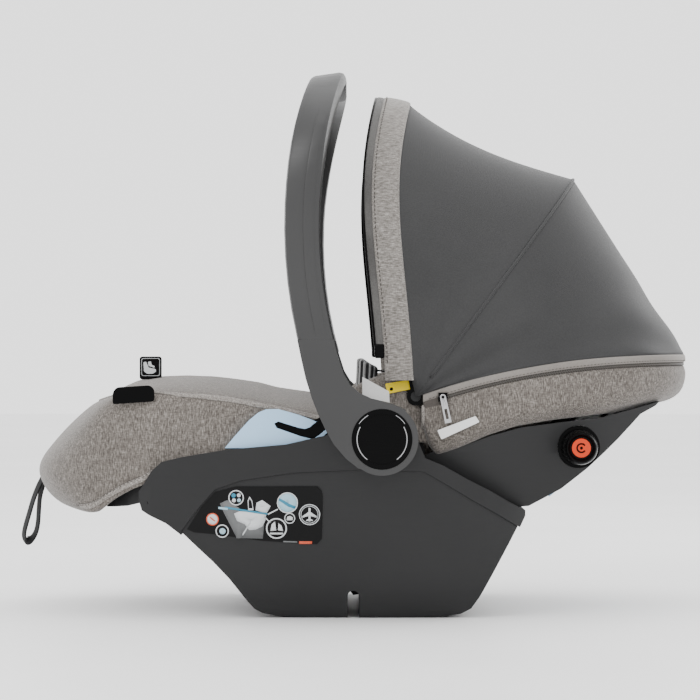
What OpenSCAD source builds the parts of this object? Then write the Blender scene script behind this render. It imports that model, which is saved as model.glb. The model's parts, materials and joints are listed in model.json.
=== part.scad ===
// Infant car seat: rocker base, reclining backrest with a folding canopy, leg rest with a foot cover,
// carry handle, belt guides, side impact pods and harness.
// X runs from the foot end to the head end, Y across the seat, Z up. The origin is on the floor,
// at the middle of the flat face that the base rests on.

/* [Base] */
// Half the width of the shell at its rim, beside the hubs
shell_half = 187.5; // [186:0.5:188]
// How much narrower each side of the base is at the floor
shell_flare = 32; // [26:1:36]
// Thickness of the moulded walls
wall = 3.5; // [2.5:0.5:4.5]
// How far the collar stands out from the lower shell
collar_step = 2.5; // [1.5:0.5:3]

/* [Hub and handle] */
// Distance from the hub axis to the middle of the handle's crossbar
handle_reach = 363; // [363:0.5:366]
// Thickness of each handle arm across its inner and outer faces
handle_t = 21; // [20:0.5:21.5]
// Thickness of the crossbar that is gripped
bar_t = 13; // [12:0.5:13]
// Width of the handle seen from the side
handle_w = 35; // [32:1:37]
// Radius of the hub housing at the foot of each handle arm
hub_r = 35.5; // [34:0.5:37]
// Radius of the round button in each hub
button_r = 29.2; // [27:0.2:29.4]

/* [Canopy] */
// Half the width of the canopy at its foot
canopy_half = 178; // [176:1:180]
// Distance from the canopy's pivot to the top of its front bow
canopy_front_r = 307; // [300:1:308]
// Distance from the canopy's pivot to the top of its middle bow
canopy_mid_r = 279; // [272:1:282]
// Distance from the canopy's pivot to the back of the head end
canopy_rear_r = 284; // [278:1:286]
// Width of the light band along the canopy's front edge
band_w = 26; // [22:1:28]

/* [Side impact pods] */
// Radius of a pod where it leaves the shell
pod_r = 17.4; // [16:0.1:17.5]
// How far a pod stands out when it is extended
pod_out = 32; // [26:1:33]

/* [Hidden] */

charcoal = [0.24, 0.24, 0.245];
canopy_grey = [0.29, 0.29, 0.30];
melange = [0.52, 0.50, 0.48];
lining = [0.36, 0.35, 0.34];
sky = [0.72, 0.84, 0.95];
steel = [0.72, 0.73, 0.75];
jet = [0.04, 0.04, 0.045];

// Shared axes: the hub carries the handle and the backrest, the canopy turns on its own pivot.
hub = [18, 181];
canopy_pivot = [52, 222];
leg_pivot = [-212, 117];
gap = 0.4;              // between neighbouring mouldings
fine = 36;
centre_shift = 10;      // puts the origin under the middle of the overall length, pull loop included

// ---- Curves that several parts share, as [x, z] or [x, half width] ----

// Underside of the base from the front lip over the flat middle to the back rim.
shell_side = [
    [-221, 240], [-221, 119], [-218.5, 110], [-212, 106], [-195, 98], [-181, 87.5], [-166, 73], [-149, 57],
    [-133, 40], [-116, 18], [-109, 9.5], [-101, 5], [-88, 2], [-60, 0], [60, 0], [84, 1.5], [98, 4],
    [108, 9.5], [117, 23], [131, 48.5], [154, 91.6], [159.5, 103], [159.5, 240]
];
// Plan of the base at the height of its rim.
shell_plan = [
    [-226, 161], [-210, 170], [-180, 177], [-130, 182.5], [-60, 186], [20, shell_half], [80, 186],
    [120, 180], [145, 170], [166, 152]
];
plan_z = 160;           // the height at which shell_plan is measured
// Line where the collar meets the lower shell, and the rim on top of the collar.
collar_foot = [
    [-181, 60], [-181, 88], [-162, 113], [-147, 130], [-121, 139], [-69, 147], [0, 150], [60, 148],
    [79, 137], [107, 120], [130, 107], [153, 93], [170, 84]
];
collar_rim = [
    [170, 104], [160, 109], [144, 117.6], [125, 129], [104, 139.7], [79, 154], [61, 161.5], [54, 178], [40, 199],
    [18, 206], [-10, 199], [-37, 184], [-76, 175], [-136, 169.5], [-180, 162], [-200, 157], [-210, 148],
    [-218, 135], [-230, 118]
];

function shell_y(x, z, o = 0) = lookup(x, shell_plan) - shell_flare * (1 - z / plan_z)
    - 15 * pow(max(0, 1 - z / 48), 3) + o;

// ---- Helpers ----

// Everything is drawn about the middle of the padded body, then moved to the origin in use.
module placed() {
    translate([centre_shift, 0, 0]) children();
}

// A profile drawn as [x, z], made w thick and centred on Y = 0.
module along_y(w) {
    rotate([90, 0, 0]) linear_extrude(w, center = true) children();
}

// A profile drawn as [x, z] that fills from Y = y0 to Y = y1.
module between_y(y0, y1) {
    translate([0, y1, 0]) rotate([90, 0, 0]) linear_extrude(y1 - y0) children();
}

// The same piece on both sides, or on one: side is -1 for left, 1 for right.
module on_side(side) {
    if (side > 0) children(); else mirror([0, 1, 0]) children();
}

module both_sides() {
    for (side = [-1, 1]) on_side(side) children();
}

// A cylinder along Y about a point given as [x, z].
module pin(at, r, y0, y1) {
    translate([at[0], y1, at[1]]) rotate([90, 0, 0]) cylinder(r = r, h = y1 - y0, $fn = fine);
}

function flat(rows) = [for (row = rows) for (p = row) p];

// A closed skin between two grids of points that have the same rows and columns.
module slab(outer, inner) {
    n = len(outer);
    m = len(outer[0]);
    s = n * m;
    face_a = [for (i = [0:n - 2]) for (j = [0:m - 2]) for (t = [0, 1])
        t == 0 ? [i * m + j, i * m + j + 1, (i + 1) * m + j + 1]
               : [i * m + j, (i + 1) * m + j + 1, (i + 1) * m + j]];
    face_b = [for (f = face_a) [f[2] + s, f[1] + s, f[0] + s]];
    rim_rows = [for (i = [0:n - 2]) for (e = [[i * m, (i + 1) * m], [(i + 2) * m - 1, (i + 1) * m - 1]])
        for (t = [0, 1]) t == 0 ? [e[0], e[1], e[1] + s] : [e[0], e[1] + s, e[0] + s]];
    rim_cols = [for (j = [0:m - 2]) for (e = [[j + 1, j], [(n - 1) * m + j, (n - 1) * m + j + 1]])
        for (t = [0, 1]) t == 0 ? [e[0], e[1], e[1] + s] : [e[0], e[1] + s, e[0] + s]];
    polyhedron(points = concat(flat(outer), flat(inner)), faces = concat(face_a, face_b, rim_rows, rim_cols));
}

// A closed tube through rings of points, capped at both ends.
module tube(rings) {
    n = len(rings);
    m = len(rings[0]);
    skin = [for (i = [0:n - 2]) for (j = [0:m - 1]) for (t = [0, 1])
        t == 0 ? [i * m + j, (i + 1) * m + j, (i + 1) * m + (j + 1) % m]
               : [i * m + j, (i + 1) * m + (j + 1) % m, i * m + (j + 1) % m]];
    caps = concat([for (j = [1:m - 2]) [0, j, j + 1]],
                  [for (j = [1:m - 2]) [(n - 1) * m, (n - 1) * m + j + 1, (n - 1) * m + j]]);
    polyhedron(points = flat(rings), faces = concat(skin, caps));
}

function unit(v) = v / norm(v);
function mix(a, b, t) = a + (b - a) * t;

// A flat strap of width w and thickness t along a path of [x, z] points, its middle at Y = y.
module strap(path, y, w, t) {
    n = len(path);
    normal = [for (i = [0:n - 1])
        let (d = unit(path[min(i + 1, n - 1)] - path[max(i - 1, 0)])) [-d[1], d[0]] * t / 2];
    outer = [for (i = [0:n - 1]) [path[i][0] + normal[i][0], path[i][1] + normal[i][1]]];
    inner = [for (i = [n - 1:-1:0]) [path[i][0] - normal[i][0], path[i][1] - normal[i][1]]];
    between_y(y - w / 2, y + w / 2) polygon(concat(outer, inner));
}

// ---- Base ----

// The whole outer form of the base, with its surface moved out by o.
module shell_core(o) {
    heights = [236, 48, 32, 20, 10, 3, -4];
    intersection() {
        along_y(460) offset(delta = o) polygon(shell_side);
        hull() for (s = shell_plan)
            translate([s[0], 0, 0]) rotate([90, 0, 90]) linear_extrude(0.02) polygon(concat(
                [for (z = heights) [shell_y(s[0], z, o), z]],
                [for (i = [len(heights) - 1:-1:0]) [-shell_y(s[0], heights[i], o), heights[i]]]));
    }
}

slot_x = -9.8;          // middle of the channel that stroller posts enter
slot_w = 11.8;
slot_top = 28.5;
latch_axis = [10, 58];
post_x = [-96, 28];     // the deck stands on posts here

module slot_profile(grow) {
    hull() {
        translate([slot_x, slot_top - slot_w / 2]) circle(r = slot_w / 2 + grow, $fn = fine);
        translate([slot_x - slot_w / 2 - grow, -5]) square([slot_w + 2 * grow, 10]);
    }
}

// Bottom shell with the rocker floor and the channel across it.
module lower_shell() {
    color(charcoal) placed() difference() {
        union() {
            intersection() {
                difference() {
                    shell_core(0);
                    shell_core(-wall);
                }
                along_y(460) polygon(concat([[-181, -10]], [for (p = collar_foot) p - [0, 0.3]], [[170, -10]]));
            }
            intersection() {
                shell_core(-wall / 2);
                union() {
                    along_y(400) slot_profile(3);
                    both_sides() for (x = post_x) translate([x, 96, 0]) cylinder(r = 7, h = 43.6, $fn = fine);
                }
            }
        }
        along_y(400) slot_profile(0);
        // Windows where the latch hooks reach into the channel.
        both_sides() translate([slot_x - 6.4, 66, 3]) cube([22.6, 18, 60]);
        both_sides() for (x = post_x) translate([x, 96, -1]) cylinder(r = 2.6, h = 60, $fn = fine);
        both_sides() pin(hub, 33.6, 150, 230);
    }
}

// Collar around the shell's rim, which stands out over the lower shell.
notch_half = 149;
module shell_collar() {
    color(charcoal) placed() difference() {
        intersection() {
            difference() {
                shell_core(collar_step);
                shell_core(-wall);
            }
            along_y(460) polygon(concat([[-240, 60]], collar_foot, collar_rim));
        }
        both_sides() pin(hub, 33.4, 150, 230);
        // The leg rest passes between the collar's two front corners.
        translate([-240, -notch_half, 109]) cube([42, 2 * notch_half, 60]);
        both_sides() pin(leg_pivot, 3.05, 120, 161.4);
    }
}

// Deck that closes the hollow base under the seat.
deck_z = 92;
module seat_deck() {
    color(charcoal) placed() union() {
        for (part = [[-176, -84, 150], [-84, 40, 158]])
            translate([part[0], -part[2], deck_z]) cube([part[1] - part[0], 2 * part[2], 4]);
        both_sides() for (x = post_x) translate([x, 96, 44]) cylinder(r = 6, h = deck_z - 44 + 2, $fn = fine);
    }
}

// Foam block between the deck and the seat pad.
module front_foam() {
    color([0.9, 0.9, 0.88]) placed() translate([0, 0, deck_z + 4 + gap]) linear_extrude(9)
        polygon([[-184, -108], [-120, -124], [40, -124], [40, 124], [-120, 124], [-184, 108]]);
}

seat_top = 122;
module seat_pad() {
    color(lining) placed() hull() {
        translate([0, 0, deck_z + 14]) linear_extrude(4)
            polygon([[-186, -106], [-120, -122], [42, -122], [42, 122], [-120, 122], [-186, 106]]);
        translate([0, 0, seat_top - 4]) linear_extrude(4)
            polygon([[-180, -98], [-120, -112], [34, -112], [34, 112], [-120, 112], [-180, 98]]);
    }
}

// Padded fabric sides of the seat, from the deck up over the rim.
rim_line = [[-204, 226], [-166, 225], [-128, 220.5], [-102, 215], [-84, 212], [-46, 203], [-34, 199]];
function front_taper(x) = 15 * pow(max(0, (-x - 120) / 90), 1.5);
module side_cover() {
    xs = [for (i = [0:10]) mix(-203, -34, i / 10)];
    // Each section goes up the outside, over the rim, and down the inside.
    outer = [[160, 109], [166, 128], [171, 150], [173, 180]];
    inner = [[126.5, 109], [127, 120], [128, 135], [129.5, 150]];
    function outside(x) = let (r = lookup(x, rim_line), n = front_taper(x)) concat(
        [for (p = outer) [x, p[0] - n, min(p[1], r - 10)]],
        [[x, 170 - n, r - 5], [x, 160 - n, r], [x, 146 - n, r - 2]]);
    function inside(x) = let (r = lookup(x, rim_line), n = front_taper(x)) concat(
        [for (p = inner) [x, p[0] - n, min(p[1], r - 40)]],
        [[x, 134 - n, r - 34], [x, 140.5 - n, r - 22], [x, 143.4 - n, r - 10]]);
    color(melange) placed() both_sides() slab([for (x = xs) inside(x)], [for (x = xs) outside(x)]);
}

// Foot apron: a padded dome over the legs. It is cut at the leg rest's joint.
apron_top = [[-270, 214], [-262, 220], [-247, 229], [-234, 236], [-210, 240.5], [-183, 241.5], [-159, 240.5],
             [-108, 234], [-90, 229], [-55, 223], [-34, 216]];
function apron_half(x) = 139.8 - front_taper(x) - 30 * pow(max(0, (-x - 225) / 45), 2);
// grow widens the piece, raise lifts its top and sink lowers its underside.
module apron(x0, x1, grow = 0, raise = 0, sink = 9) {
    xs = [for (i = [0:8]) mix(x0, x1, i / 8)];
    ys = [for (j = [0:14]) j / 7 - 1];
    function skin(dz) = [for (x = xs) [for (t = ys)
        [x, t * (apron_half(x) + grow), lookup(x, apron_top) - 15 * pow(abs(t), 2.6) + dz]]];
    slab(skin(raise), skin(-sink));
}
module apron_rear() {
    color(melange) placed() apron(-202.5, -36);
}
module apron_front() {
    color(melange) placed() apron(-262, -206);
}

// Boss in the collar: the handle turns on its outer stub, the backrest on its inner one.
module hub_pivot(side) {
    color(charcoal) placed() on_side(side) union() {
        pin(hub, 33, 185, 197.6);
        pin(hub, 9, 197, 204.6);
        pin(hub, 7, 172.5, 186);
    }
}

// Belt guide: a rounded plate on the rim, with a hooked slot for the lap belt.
guide_outline = [
    [-137, 171], [-127, 183], [-113, 198.5], [-104, 206], [-96, 209.4], [-84, 209.6], [-64, 204],
    [-46.5, 197.3], [-37, 190], [-35.5, 186.5], [-41.7, 180.5], [-50, 171]
];
guide_slot = [
    [-88, 195.4], [-85.5, 191], [-62, 182.8], [-50, 179.9], [-43.5, 184], [-33, 193], [-40, 202],
    [-53.5, 191.4], [-58, 190], [-64, 191.2], [-84, 197.4]
];
module belt_guide(side) {
    color(sky) placed() on_side(side) difference() {
        between_y(173.6, 180.2) polygon(guide_outline);
        between_y(170, 190) polygon(guide_slot);
    }
}

// Printed label on the side of the lower shell.
label_outline = [
    [-175, 90], [-160, 113], [-147, 127.5], [-126, 133], [-45, 133.4], [-41, 129], [-40, 123], [-41, 81], [-46, 75.5],
    [-102, 79], [-150, 85.5], [-168, 87]
];
module side_label(side) {
    color(jet) placed() on_side(side) intersection() {
        difference() {
            shell_core(0.9);
            shell_core(0.15);
        }
        between_y(60, 220) polygon(label_outline);
    }
}

// Two hooks on one cross shaft catch the stroller's posts in the channel.
module latch_hooks() {
    hook = [[4, 62], [4, 50], [3, 34], [-3, 27.5], [-13, 25.5], [-13.5, 22], [-10, 17.5], [0, 19], [9, 27], [13, 40],
            [16, 52], [16, 62], [13, 65.5], [7, 65.5]];
    color(jet) placed() both_sides() difference() {
        between_y(70, 80) polygon(hook);
        pin(latch_axis, 4.05, 60, 90);
    }
}
module latch_shaft() {
    color(steel) placed() pin(latch_axis, 4, -162.6, 162.6);
}
module base_screws() {
    color(steel) placed() both_sides() for (x = post_x) translate([x, 96, 0]) union() {
        translate([0, 0, 1.6]) cylinder(r = 2.4, h = 24, $fn = fine);
    }
}

// ---- Harness ----

module crotch_strap() {
    color(jet) placed() strap([[-20, seat_top + 1.6], [-8, seat_top + 2], [-2, seat_top + 8], [0, seat_top + 20],
                      [-1, 160.5]], 0, 38, 1.8);
}
module buckle_housing() {
    color(jet) placed() difference() {
        hull() {
            between_y(-22, 22) polygon([[-9, 168], [7, 168], [6, 194], [-7, 194]]);
            between_y(-17, 17) polygon([[-8, 161], [6, 161], [5, 198], [-6, 198]]);
        }
        translate([-14, 0, 178]) rotate([0, 90, 0]) cylinder(r = 10.4, h = 12, $fn = fine);
    }
}
module buckle_button() {
    color([0.75, 0.08, 0.07]) placed() translate([-11, 0, 178]) rotate([0, 90, 0]) cylinder(r = 10, h = 5.5, $fn = fine);
}
chest_path = [[1, 204], [-1.5, 220], [-3.5, 240], [-2, 252], [4, 257], [12, 254.5], [20, 249.5]];
module chest_pads() {
    color([0.45, 0.45, 0.46]) placed() both_sides() union() {
        strap(chest_path, 42, 46, 9);
        // Moulded ribs along the pad's face.
        for (k = [-2:2]) strap([for (p = [for (i = [0:4]) chest_path[i]]) p - [5.4, 0]], 42 + k * 8.5, 3.4, 2.4);
    }
}
module shoulder_straps() {
    color(jet) placed() both_sides() strap([[46, 241], [72, 229], [110, 212], [135, 203.5], [149, 200.5]], 42, 38, 1.8);
}
module adjuster_housing() {
    color(jet) placed() difference() {
        translate([-96, -20, seat_top + gap]) cube([36, 40, 9]);
        translate([-88, -11, seat_top + 3]) cube([20, 22, 12]);
    }
}
module adjuster_button() {
    color(steel) placed() translate([-87.6, -10.6, seat_top + 7]) cube([19.2, 21.2, 4.4]);
}

// ---- Leg rest ----

leg_plan = [[-262, 112], [-250, 130], [-235, 141], [-222, 145.6], [-200, 146]];
module leg_form(o) {
    intersection() {
        along_y(400) offset(delta = o)
            polygon([[-262, 190], [-262, 118], [-258, 110], [-236, 112], [-227, 114.2], [-220, 116.2], [-206.4, 117.5],
                     [-206.4, 190]]);
        hull() for (s = leg_plan)
            translate([s[0] - (s[0] < -250 ? o : 0), -s[1] - o, 90]) cube([0.02, 2 * (s[1] + o), 110]);
    }
}
module leg_shell() {
    color(charcoal) placed() difference() {
        union() {
            intersection() {
                difference() {
                    leg_form(0);
                    translate([4, 0, 0]) leg_form(-wall);
                }
                along_y(400) polygon([[-270, 100], [-270, 128], [-240, 134], [-206, 134], [-200, 100]]);
            }
            // Hinge barrels.
            both_sides() pin(leg_pivot, 5.6, 112, 145.6);
        }
        pin(leg_pivot, 3.05, -200, 200);
    }
}
module leg_hinge_pin() {
    color(steel) placed() pin(leg_pivot, 3, -161.2, 161.2);
}

// Padded nose that wraps the foot end, open on top where the apron closes it.
nose_side = [
    [-206, 224], [-206, 156], [-212, 149.5], [-222, 138.5], [-235, 133], [-256, 124], [-264, 110], [-271, 107], [-282, 105], [-295, 106.5],
    [-308, 112], [-321, 120], [-331, 130.5], [-335.5, 140], [-336, 150], [-333.5, 161], [-327, 173], [-315, 186.5],
    [-299, 200], [-282, 211], [-268, 217], [-249, 221.5]
];
function nose_half(x) = 161 * pow(1 - pow(min(1, (-x - 190) / 146.2), 2.7), 1 / 2.7);
module nose_form(inset) {
    intersection() {
        along_y(400) offset(delta = -inset) polygon(nose_side);
        hull() for (i = [0:12]) let (x = mix(-206, -336, sin(i * 7.5)))
            translate([x + inset * i / 12, -nose_half(x) + inset, 90])
                cube([0.02, max(0.02, 2 * (nose_half(x) - inset)), 160]);
    }
}
module leg_cover() {
    color(melange) placed() difference() {
        nose_form(0);
        // Foot well, closed below by the leg shell's tray.
        for (lift = [0, 14]) translate([20, 0, lift]) intersection() {
            nose_form(18);
            translate([-330, -150, 126]) cube([150, 300, 200]);
        }
        translate([0, 0, -0.4]) leg_form(gap);
        translate([-215, -143.5, 100]) cube([20, 287, 100]);
        apron(-263.5, -190, 1.2, 40, 11);
    }
}
module size_tag() {
    color(jet) placed() translate([-231, -44, 241.3]) cube([23, 1.2, 20]);
}
module name_label() {
    color(jet) placed() between_y(-162.6, -161.4)
        polygon([[-249, 214], [-249, 226], [-245, 231], [-212, 233], [-207.5, 229], [-207.5, 217]]);
}
loop_path = [
    [-336, 133.5], [-341, 123.5], [-345.5, 112], [-350, 97], [-354.5, 81], [-355.5, 72.5], [-353, 68.2],
    [-348, 69.5], [-343.5, 76], [-341, 86], [-340, 100], [-338.8, 114], [-335.5, 127]
];
module pull_loop() {
    color(jet) placed() strap(loop_path, 0, 10, 1.6);
}

// ---- Backrest ----

recline = atan2(94, 114);       // angle of the back above the floor
tail_r = 154.5;                 // the tail turns about the hub, just inside the base's back rim
tail = [for (a = [-26.8:-4.84:-51]) hub + tail_r * [cos(a), sin(a)]];
back_under = concat(
    [[300, 216], [296, 212], [279, 203.5], [255, 179], [224, 150], [198, 129.5], [165.5, 112]],
    tail, [[96, 72], [70, 88], [36, 128]]);
back_over = [[42, 152], [66, 166], [96, 172], [127, 183], [157, 191], [196, 196], [240, 201]];
function head_half(x, n = 2.8) = let (t = (x - canopy_pivot[0]) / canopy_rear_r)
    canopy_half * pow(max(0, 1 - pow(max(0, t), n)), 1 / n);
// The back's outer form with its surface moved out by o. open lifts the top, to make the tray's hollow.
module back_form(o, open = 0) {
    intersection() {
        along_y(400) offset(delta = o) polygon(concat(back_under, [for (p = back_over) p + [0, open]]));
        hull() for (x = [30, 90, 140, 180, 215, 245, 270, 290, 304]) let (w = min(166, head_half(x) - 9) + o)
            translate([x, 0, 0]) rotate([90, 0, 90]) linear_extrude(0.02)
                polygon([[w + 2, 400], [-w - 2, 400], [-w, 165], [-w + 43, 50], [w - 43, 50], [w, 165]]);
    }
}
pod_at = [214.5, 171.5];
pod_face_y = 159;       // where a pod leaves the shell

lever_at = [252, 176.5];
lever_tilt = 44;
module at_lever() {
    translate([lever_at[0], 0, lever_at[1]]) rotate([0, -lever_tilt, 0]) children();
}
module back_shell() {
    color(charcoal) placed() difference() {
        back_form(0);
        back_form(-wall, 120);
        both_sides() pin(pod_at, 21.3, 110, 220);
        at_lever() translate([-31, -44, -12]) cube([66, 88, 30]);
    }
}

// A frame with its X up the back and its Z out of the padding.
back_origin = [150, 126];
module on_back() {
    translate([back_origin[0], 0, back_origin[1]]) rotate([0, -recline, 0]) children();
}
module back_foam() {
    color([0.9, 0.9, 0.88]) placed() on_back() translate([0, -104, 0]) cube([140, 208, 13]);
}
module back_pad() {
    color(lining) placed() union() {
        hull() {
            on_back() translate([0, -106, 14]) cube([170, 212, 4]);
            on_back() translate([3, -96, 28]) cube([160, 192, 7]);
        }
        // Lower part, which meets the seat pad.
        between_y(-104, 104)
            polygon([[51.5, 121], [66, 103], [104, 95], [144.5, 125], [139.4, 134.6], [143, 141], [134, 146], [92, 129], [56, 124]]);
    }
}

// Fabric around the head end: from its hem under the shell's rim up to the zip.
zip_rise = 42;
function zip_z(x) = canopy_pivot[1] - 1 + zip_rise * (1 - pow(max(0, 1 - (x - canopy_pivot[0]) / canopy_rear_r), 2.4));
hem_line = [[56, 205], [62, 180], [73, 166], [97, 173.5], [127, 186], [157, 195], [196, 201], [240, 205.5], [290, 208.5], [340, 210]];
head_steps = 28;
// Points round the head end, from the left pivot to the right one. s moves the line inwards.
function head_point(i, s) = let (a = -90 + 180 * i / head_steps, n = 2 / 2.8,
        c = pow(max(0, cos(a)), n), q = sign(a) * pow(abs(sin(a)), n))
    [canopy_pivot[0] + 7 + (canopy_rear_r - 7 - s) * c, (canopy_half - s) * q];
function head_row(inset, f) = [for (i = [0:head_steps]) let (p = head_point(i, 0), b = head_point(i, inset(p)))
    [b[0], b[1], f(p[0])]];
function roll(p) = 34 * pow(max(0, (p[0] - 230) / 106), 1.4);
module back_cover() {
    top = -13;
    function z_at(x, t) = mix(lookup(x, hem_line), zip_z(x) + top, t);
    outer = [
        head_row(function (p) 9 + roll(p), function (x) z_at(x, 0)),
        head_row(function (p) 3 + roll(p) * 0.45, function (x) z_at(x, 0.16)),
        head_row(function (p) 0.5 + roll(p) * 0.1, function (x) z_at(x, 0.45)),
        head_row(function (p) 0, function (x) z_at(x, 0.8)),
        head_row(function (p) 1.5, function (x) z_at(x, 1))
    ];
    inner = [
        head_row(function (p) 11.5 + roll(p), function (x) z_at(x, 0) + 1),
        head_row(function (p) 11.8 + roll(p) * 0.8, function (x) z_at(x, 0.16)),
        head_row(function (p) 12.5 + roll(p) * 0.5, function (x) z_at(x, 0.45)),
        head_row(function (p) 14, function (x) z_at(x, 0.8)),
        head_row(function (p) 13, function (x) z_at(x, 1))
    ];
    color(melange) placed() difference() {
        slab(inner, outer);
        back_form(gap);
    }
}
module zip_tape() {
    color([0.45, 0.43, 0.41]) placed() slab(
        [head_row(function (p) 5.5, function (x) zip_z(x) - 12.5), head_row(function (p) 4.5, function (x) zip_z(x))],
        [head_row(function (p) 2.5, function (x) zip_z(x) - 12.5), head_row(function (p) 1.5, function (x) zip_z(x))]);
}
zip_pull_at = [78.5, 221.5];    // the bridge that the zip pull hangs from
module zip_slider() {
    color(steel) placed() {
        translate([zip_pull_at[0] - 4.5, -180, zip_pull_at[1] - 4.5]) cube([9, 3.4, 9]);
        translate([zip_pull_at[0], -179, zip_pull_at[1]]) rotate([90, 0, 0]) cylinder(r = 1.2, h = 3.8, $fn = fine);
    }
}
module zip_pull() {
    color(steel) placed() translate([zip_pull_at[0], -182.2, zip_pull_at[1]]) rotate([0, -12, 0]) difference() {
        hull() {
            translate([0, 1.8, 0]) rotate([90, 0, 0]) cylinder(r = 3, h = 1.8, $fn = fine);
            translate([-3.4, 0, -26]) cube([6.8, 1.8, 4]);
        }
        translate([0, 3, 0]) rotate([90, 0, 0]) cylinder(r = 1.26, h = 5, $fn = fine);
        translate([-1.4, -1, -22]) cube([2.8, 4, 10]);
    }
}
module cover_patch() {
    color([0.92, 0.92, 0.92]) placed() between_y(-180.6, -179.2)
        polygon([[72.9, 188.6], [110.8, 202.8], [114.8, 196.9], [77, 179.5]]);
}
module warning_labels() {
    color([0.94, 0.94, 0.9]) placed() between_y(-160, -158.8)
        polygon([[-1, 241.5], [25.4, 227], [26.3, 213], [-1, 222]]);
    color([0.98, 0.86, 0.05]) placed() between_y(-154, -152.8)
        polygon([[21.6, 235], [44.7, 238], [46.4, 228], [24.1, 224.5]]);
}

// Padded head support with two wings. It slides along the back.
module headrest() {
    color(melange) placed() on_back() translate([72, 0, 36]) union() {
        translate([0, -64, 0]) cube([92, 128, 12]);
        both_sides() hull() {
            translate([3, 60, 0]) cube([84, 22, 6]);
            translate([10, 70, 40]) cube([66, 20, 8]);
        }
    }
}

// Blue hook on the back of the shell that guides the shoulder belt.
module shoulder_belt_guide() {
    color(sky) placed() translate([212, 0, 139.8]) rotate([0, -recline, 0]) difference() {
        translate([-30, -62, -4.6]) cube([60, 124, 4]);
        translate([-12, -44, -6]) cube([24, 106.5, 8]);
    }
}

module recline_brackets() {
    color(steel) placed() both_sides() difference() {
        between_y(173, 177) hull() {
            translate(hub) circle(r = 17, $fn = fine);
            translate([52, 168]) circle(r = 9, $fn = fine);
        }
        pin(hub, 7.05, 160, 190);
        pin([52, 168], 3, 160, 190);
    }
}
module canopy_pivots() {
    color(charcoal) placed() both_sides() union() {
        between_y(159, 163.5) hull() {
            translate(canopy_pivot) circle(r = 11, $fn = fine);
            translate([66, 186]) circle(r = 9, $fn = fine);
        }
        pin(canopy_pivot, 5, 163, 171.2);
    }
}
module pod_sockets() {
    color(jet) placed() both_sides() difference() {
        pin(pod_at, 20.9, 118, pod_face_y);
        pin(pod_at, pod_r + 0.09, 121.5, pod_face_y + 1);
    }
}
// Pod: a cylinder that slides in its socket and narrows to a ringed face.
module pod(side) {
    color(jet) placed() on_side(side) difference() {
        translate([pod_at[0], pod_face_y, pod_at[1]]) rotate([-90, 0, 0]) rotate_extrude($fn = 40)
            polygon([[0, -10], [pod_r, -10], [pod_r, pod_out * 0.5], [pod_r - 0.5, pod_out * 0.74],
                     [pod_r - 1.6, pod_out * 0.92], [pod_r - 3, pod_out], [pod_r - 4.2, pod_out],
                     [pod_r - 6.2, pod_out - 2.4], [0, pod_out - 2.4]]);
        pin(pod_at, 9.5, pod_face_y + pod_out - 4, pod_face_y + pod_out + 4);
    }
}
module pod_badge(side) {
    color([0.93, 0.3, 0.13]) placed() on_side(side) pin(pod_at, 9.3, pod_face_y + pod_out - 3.9, pod_face_y + pod_out - 1.2);
}
// Lever that is pulled up the back to let the latch hooks go.
module release_lever() {
    color(charcoal) placed() at_lever() union() {
        hull() {
            translate([-30, -42, 0.5]) cube([44, 84, 6]);
            translate([-8, -38, -2.5]) cube([20, 76, 4]);
        }
        translate([-30, -50, 6.2]) cube([52, 100, 3]);
    }
}

// ---- Handle ----

hub_out = handle_t + 198;       // outer face of each hub
arm_y = 198 + handle_t / 2;
corner_r = 110;
// Side view of the handle: its middle line is an arc, given here as x for a height z.
arc_c = [402, 389];
arc_r = 462;
function arm_x(z) = arc_c[0] - sqrt(pow(arc_r, 2) - pow(z - arc_c[1], 2));
bar_z = hub[1] + sqrt(pow(handle_reach, 2) - 51 * 51);
corner_z = bar_z - corner_r;
bar_half = arm_y - corner_r;
// Front view of the left half, as [y, z], from the hub housing to the middle of the crossbar.
bow_half = concat(
    [for (z = [262, 285, 310, 335, 360, 385, 410]) [arm_y, z]],
    [for (a = [0:10:90]) [bar_half + corner_r * cos(a), corner_z + corner_r * sin(a)]],
    [[bar_half * 0.6, bar_z], [bar_half * 0.2, bar_z]]);
bow = concat(bow_half, [for (i = [len(bow_half) - 1:-1:0]) [-bow_half[i][0], bow_half[i][1]]]);
bow_path = [for (p = bow) [arm_x(p[1]), p[0], p[1]]];
// A ring round the bow. Its wide faces look along the circle that the bar sweeps about the hub.
function bow_ring(i, w, t) = let (
        n = len(bow_path),
        p = bow_path[i],
        along = unit(bow_path[min(i + 1, n - 1)] - bow_path[max(i - 1, 0)]),
        sweep = unit([p[2] - hub[1], 0, hub[0] - p[0]]),
        side = unit(cross(along, sweep)),
        wide = unit(cross(side, along)),
        s = max(0, min(1, (abs(p[1]) - 70) / (arm_y - 70))),
        b = t - (handle_t - bar_t) / 2 * (1 - s),
        c = min(5, b * 0.8))
    [for (q = [[-w + c, -b], [3, -b], [3.5, -b + 0.9], [w - c, -b + 0.9], [w - 1.4, -b + 2], [w, -b + c + 0.4],
               [w, b - c], [w - 1.4, b - 1.4],
               [w - c, b], [-w + c, b], [-w + 1.4, b - 1.4], [-w, b - c], [-w, -b + c], [-w + 1.4, -b + 1.4]])
        p + wide * q[0] + side * q[1]];
flare = [
    [-64.6, 278], [-60.7, 259], [-56.4, 240], [-50.4, 221], [-44.5, 206], [-37, 190], [-29, 176], [-17, 162],
    [-5, 152.5], [18, 150], [40, 190], [41, 210], [26, 216.3], [8, 220.5], [-4, 226], [-13, 234], [-19.5, 245],
    [-25, 262], [-29, 278]
];
module bow_tube(w, t) { tube([for (i = [0:len(bow_path) - 1]) bow_ring(i, w, t)]); }
module grip_zone(w) { translate([-120, -w, 500]) cube([160, 2 * w, 80]); }
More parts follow.
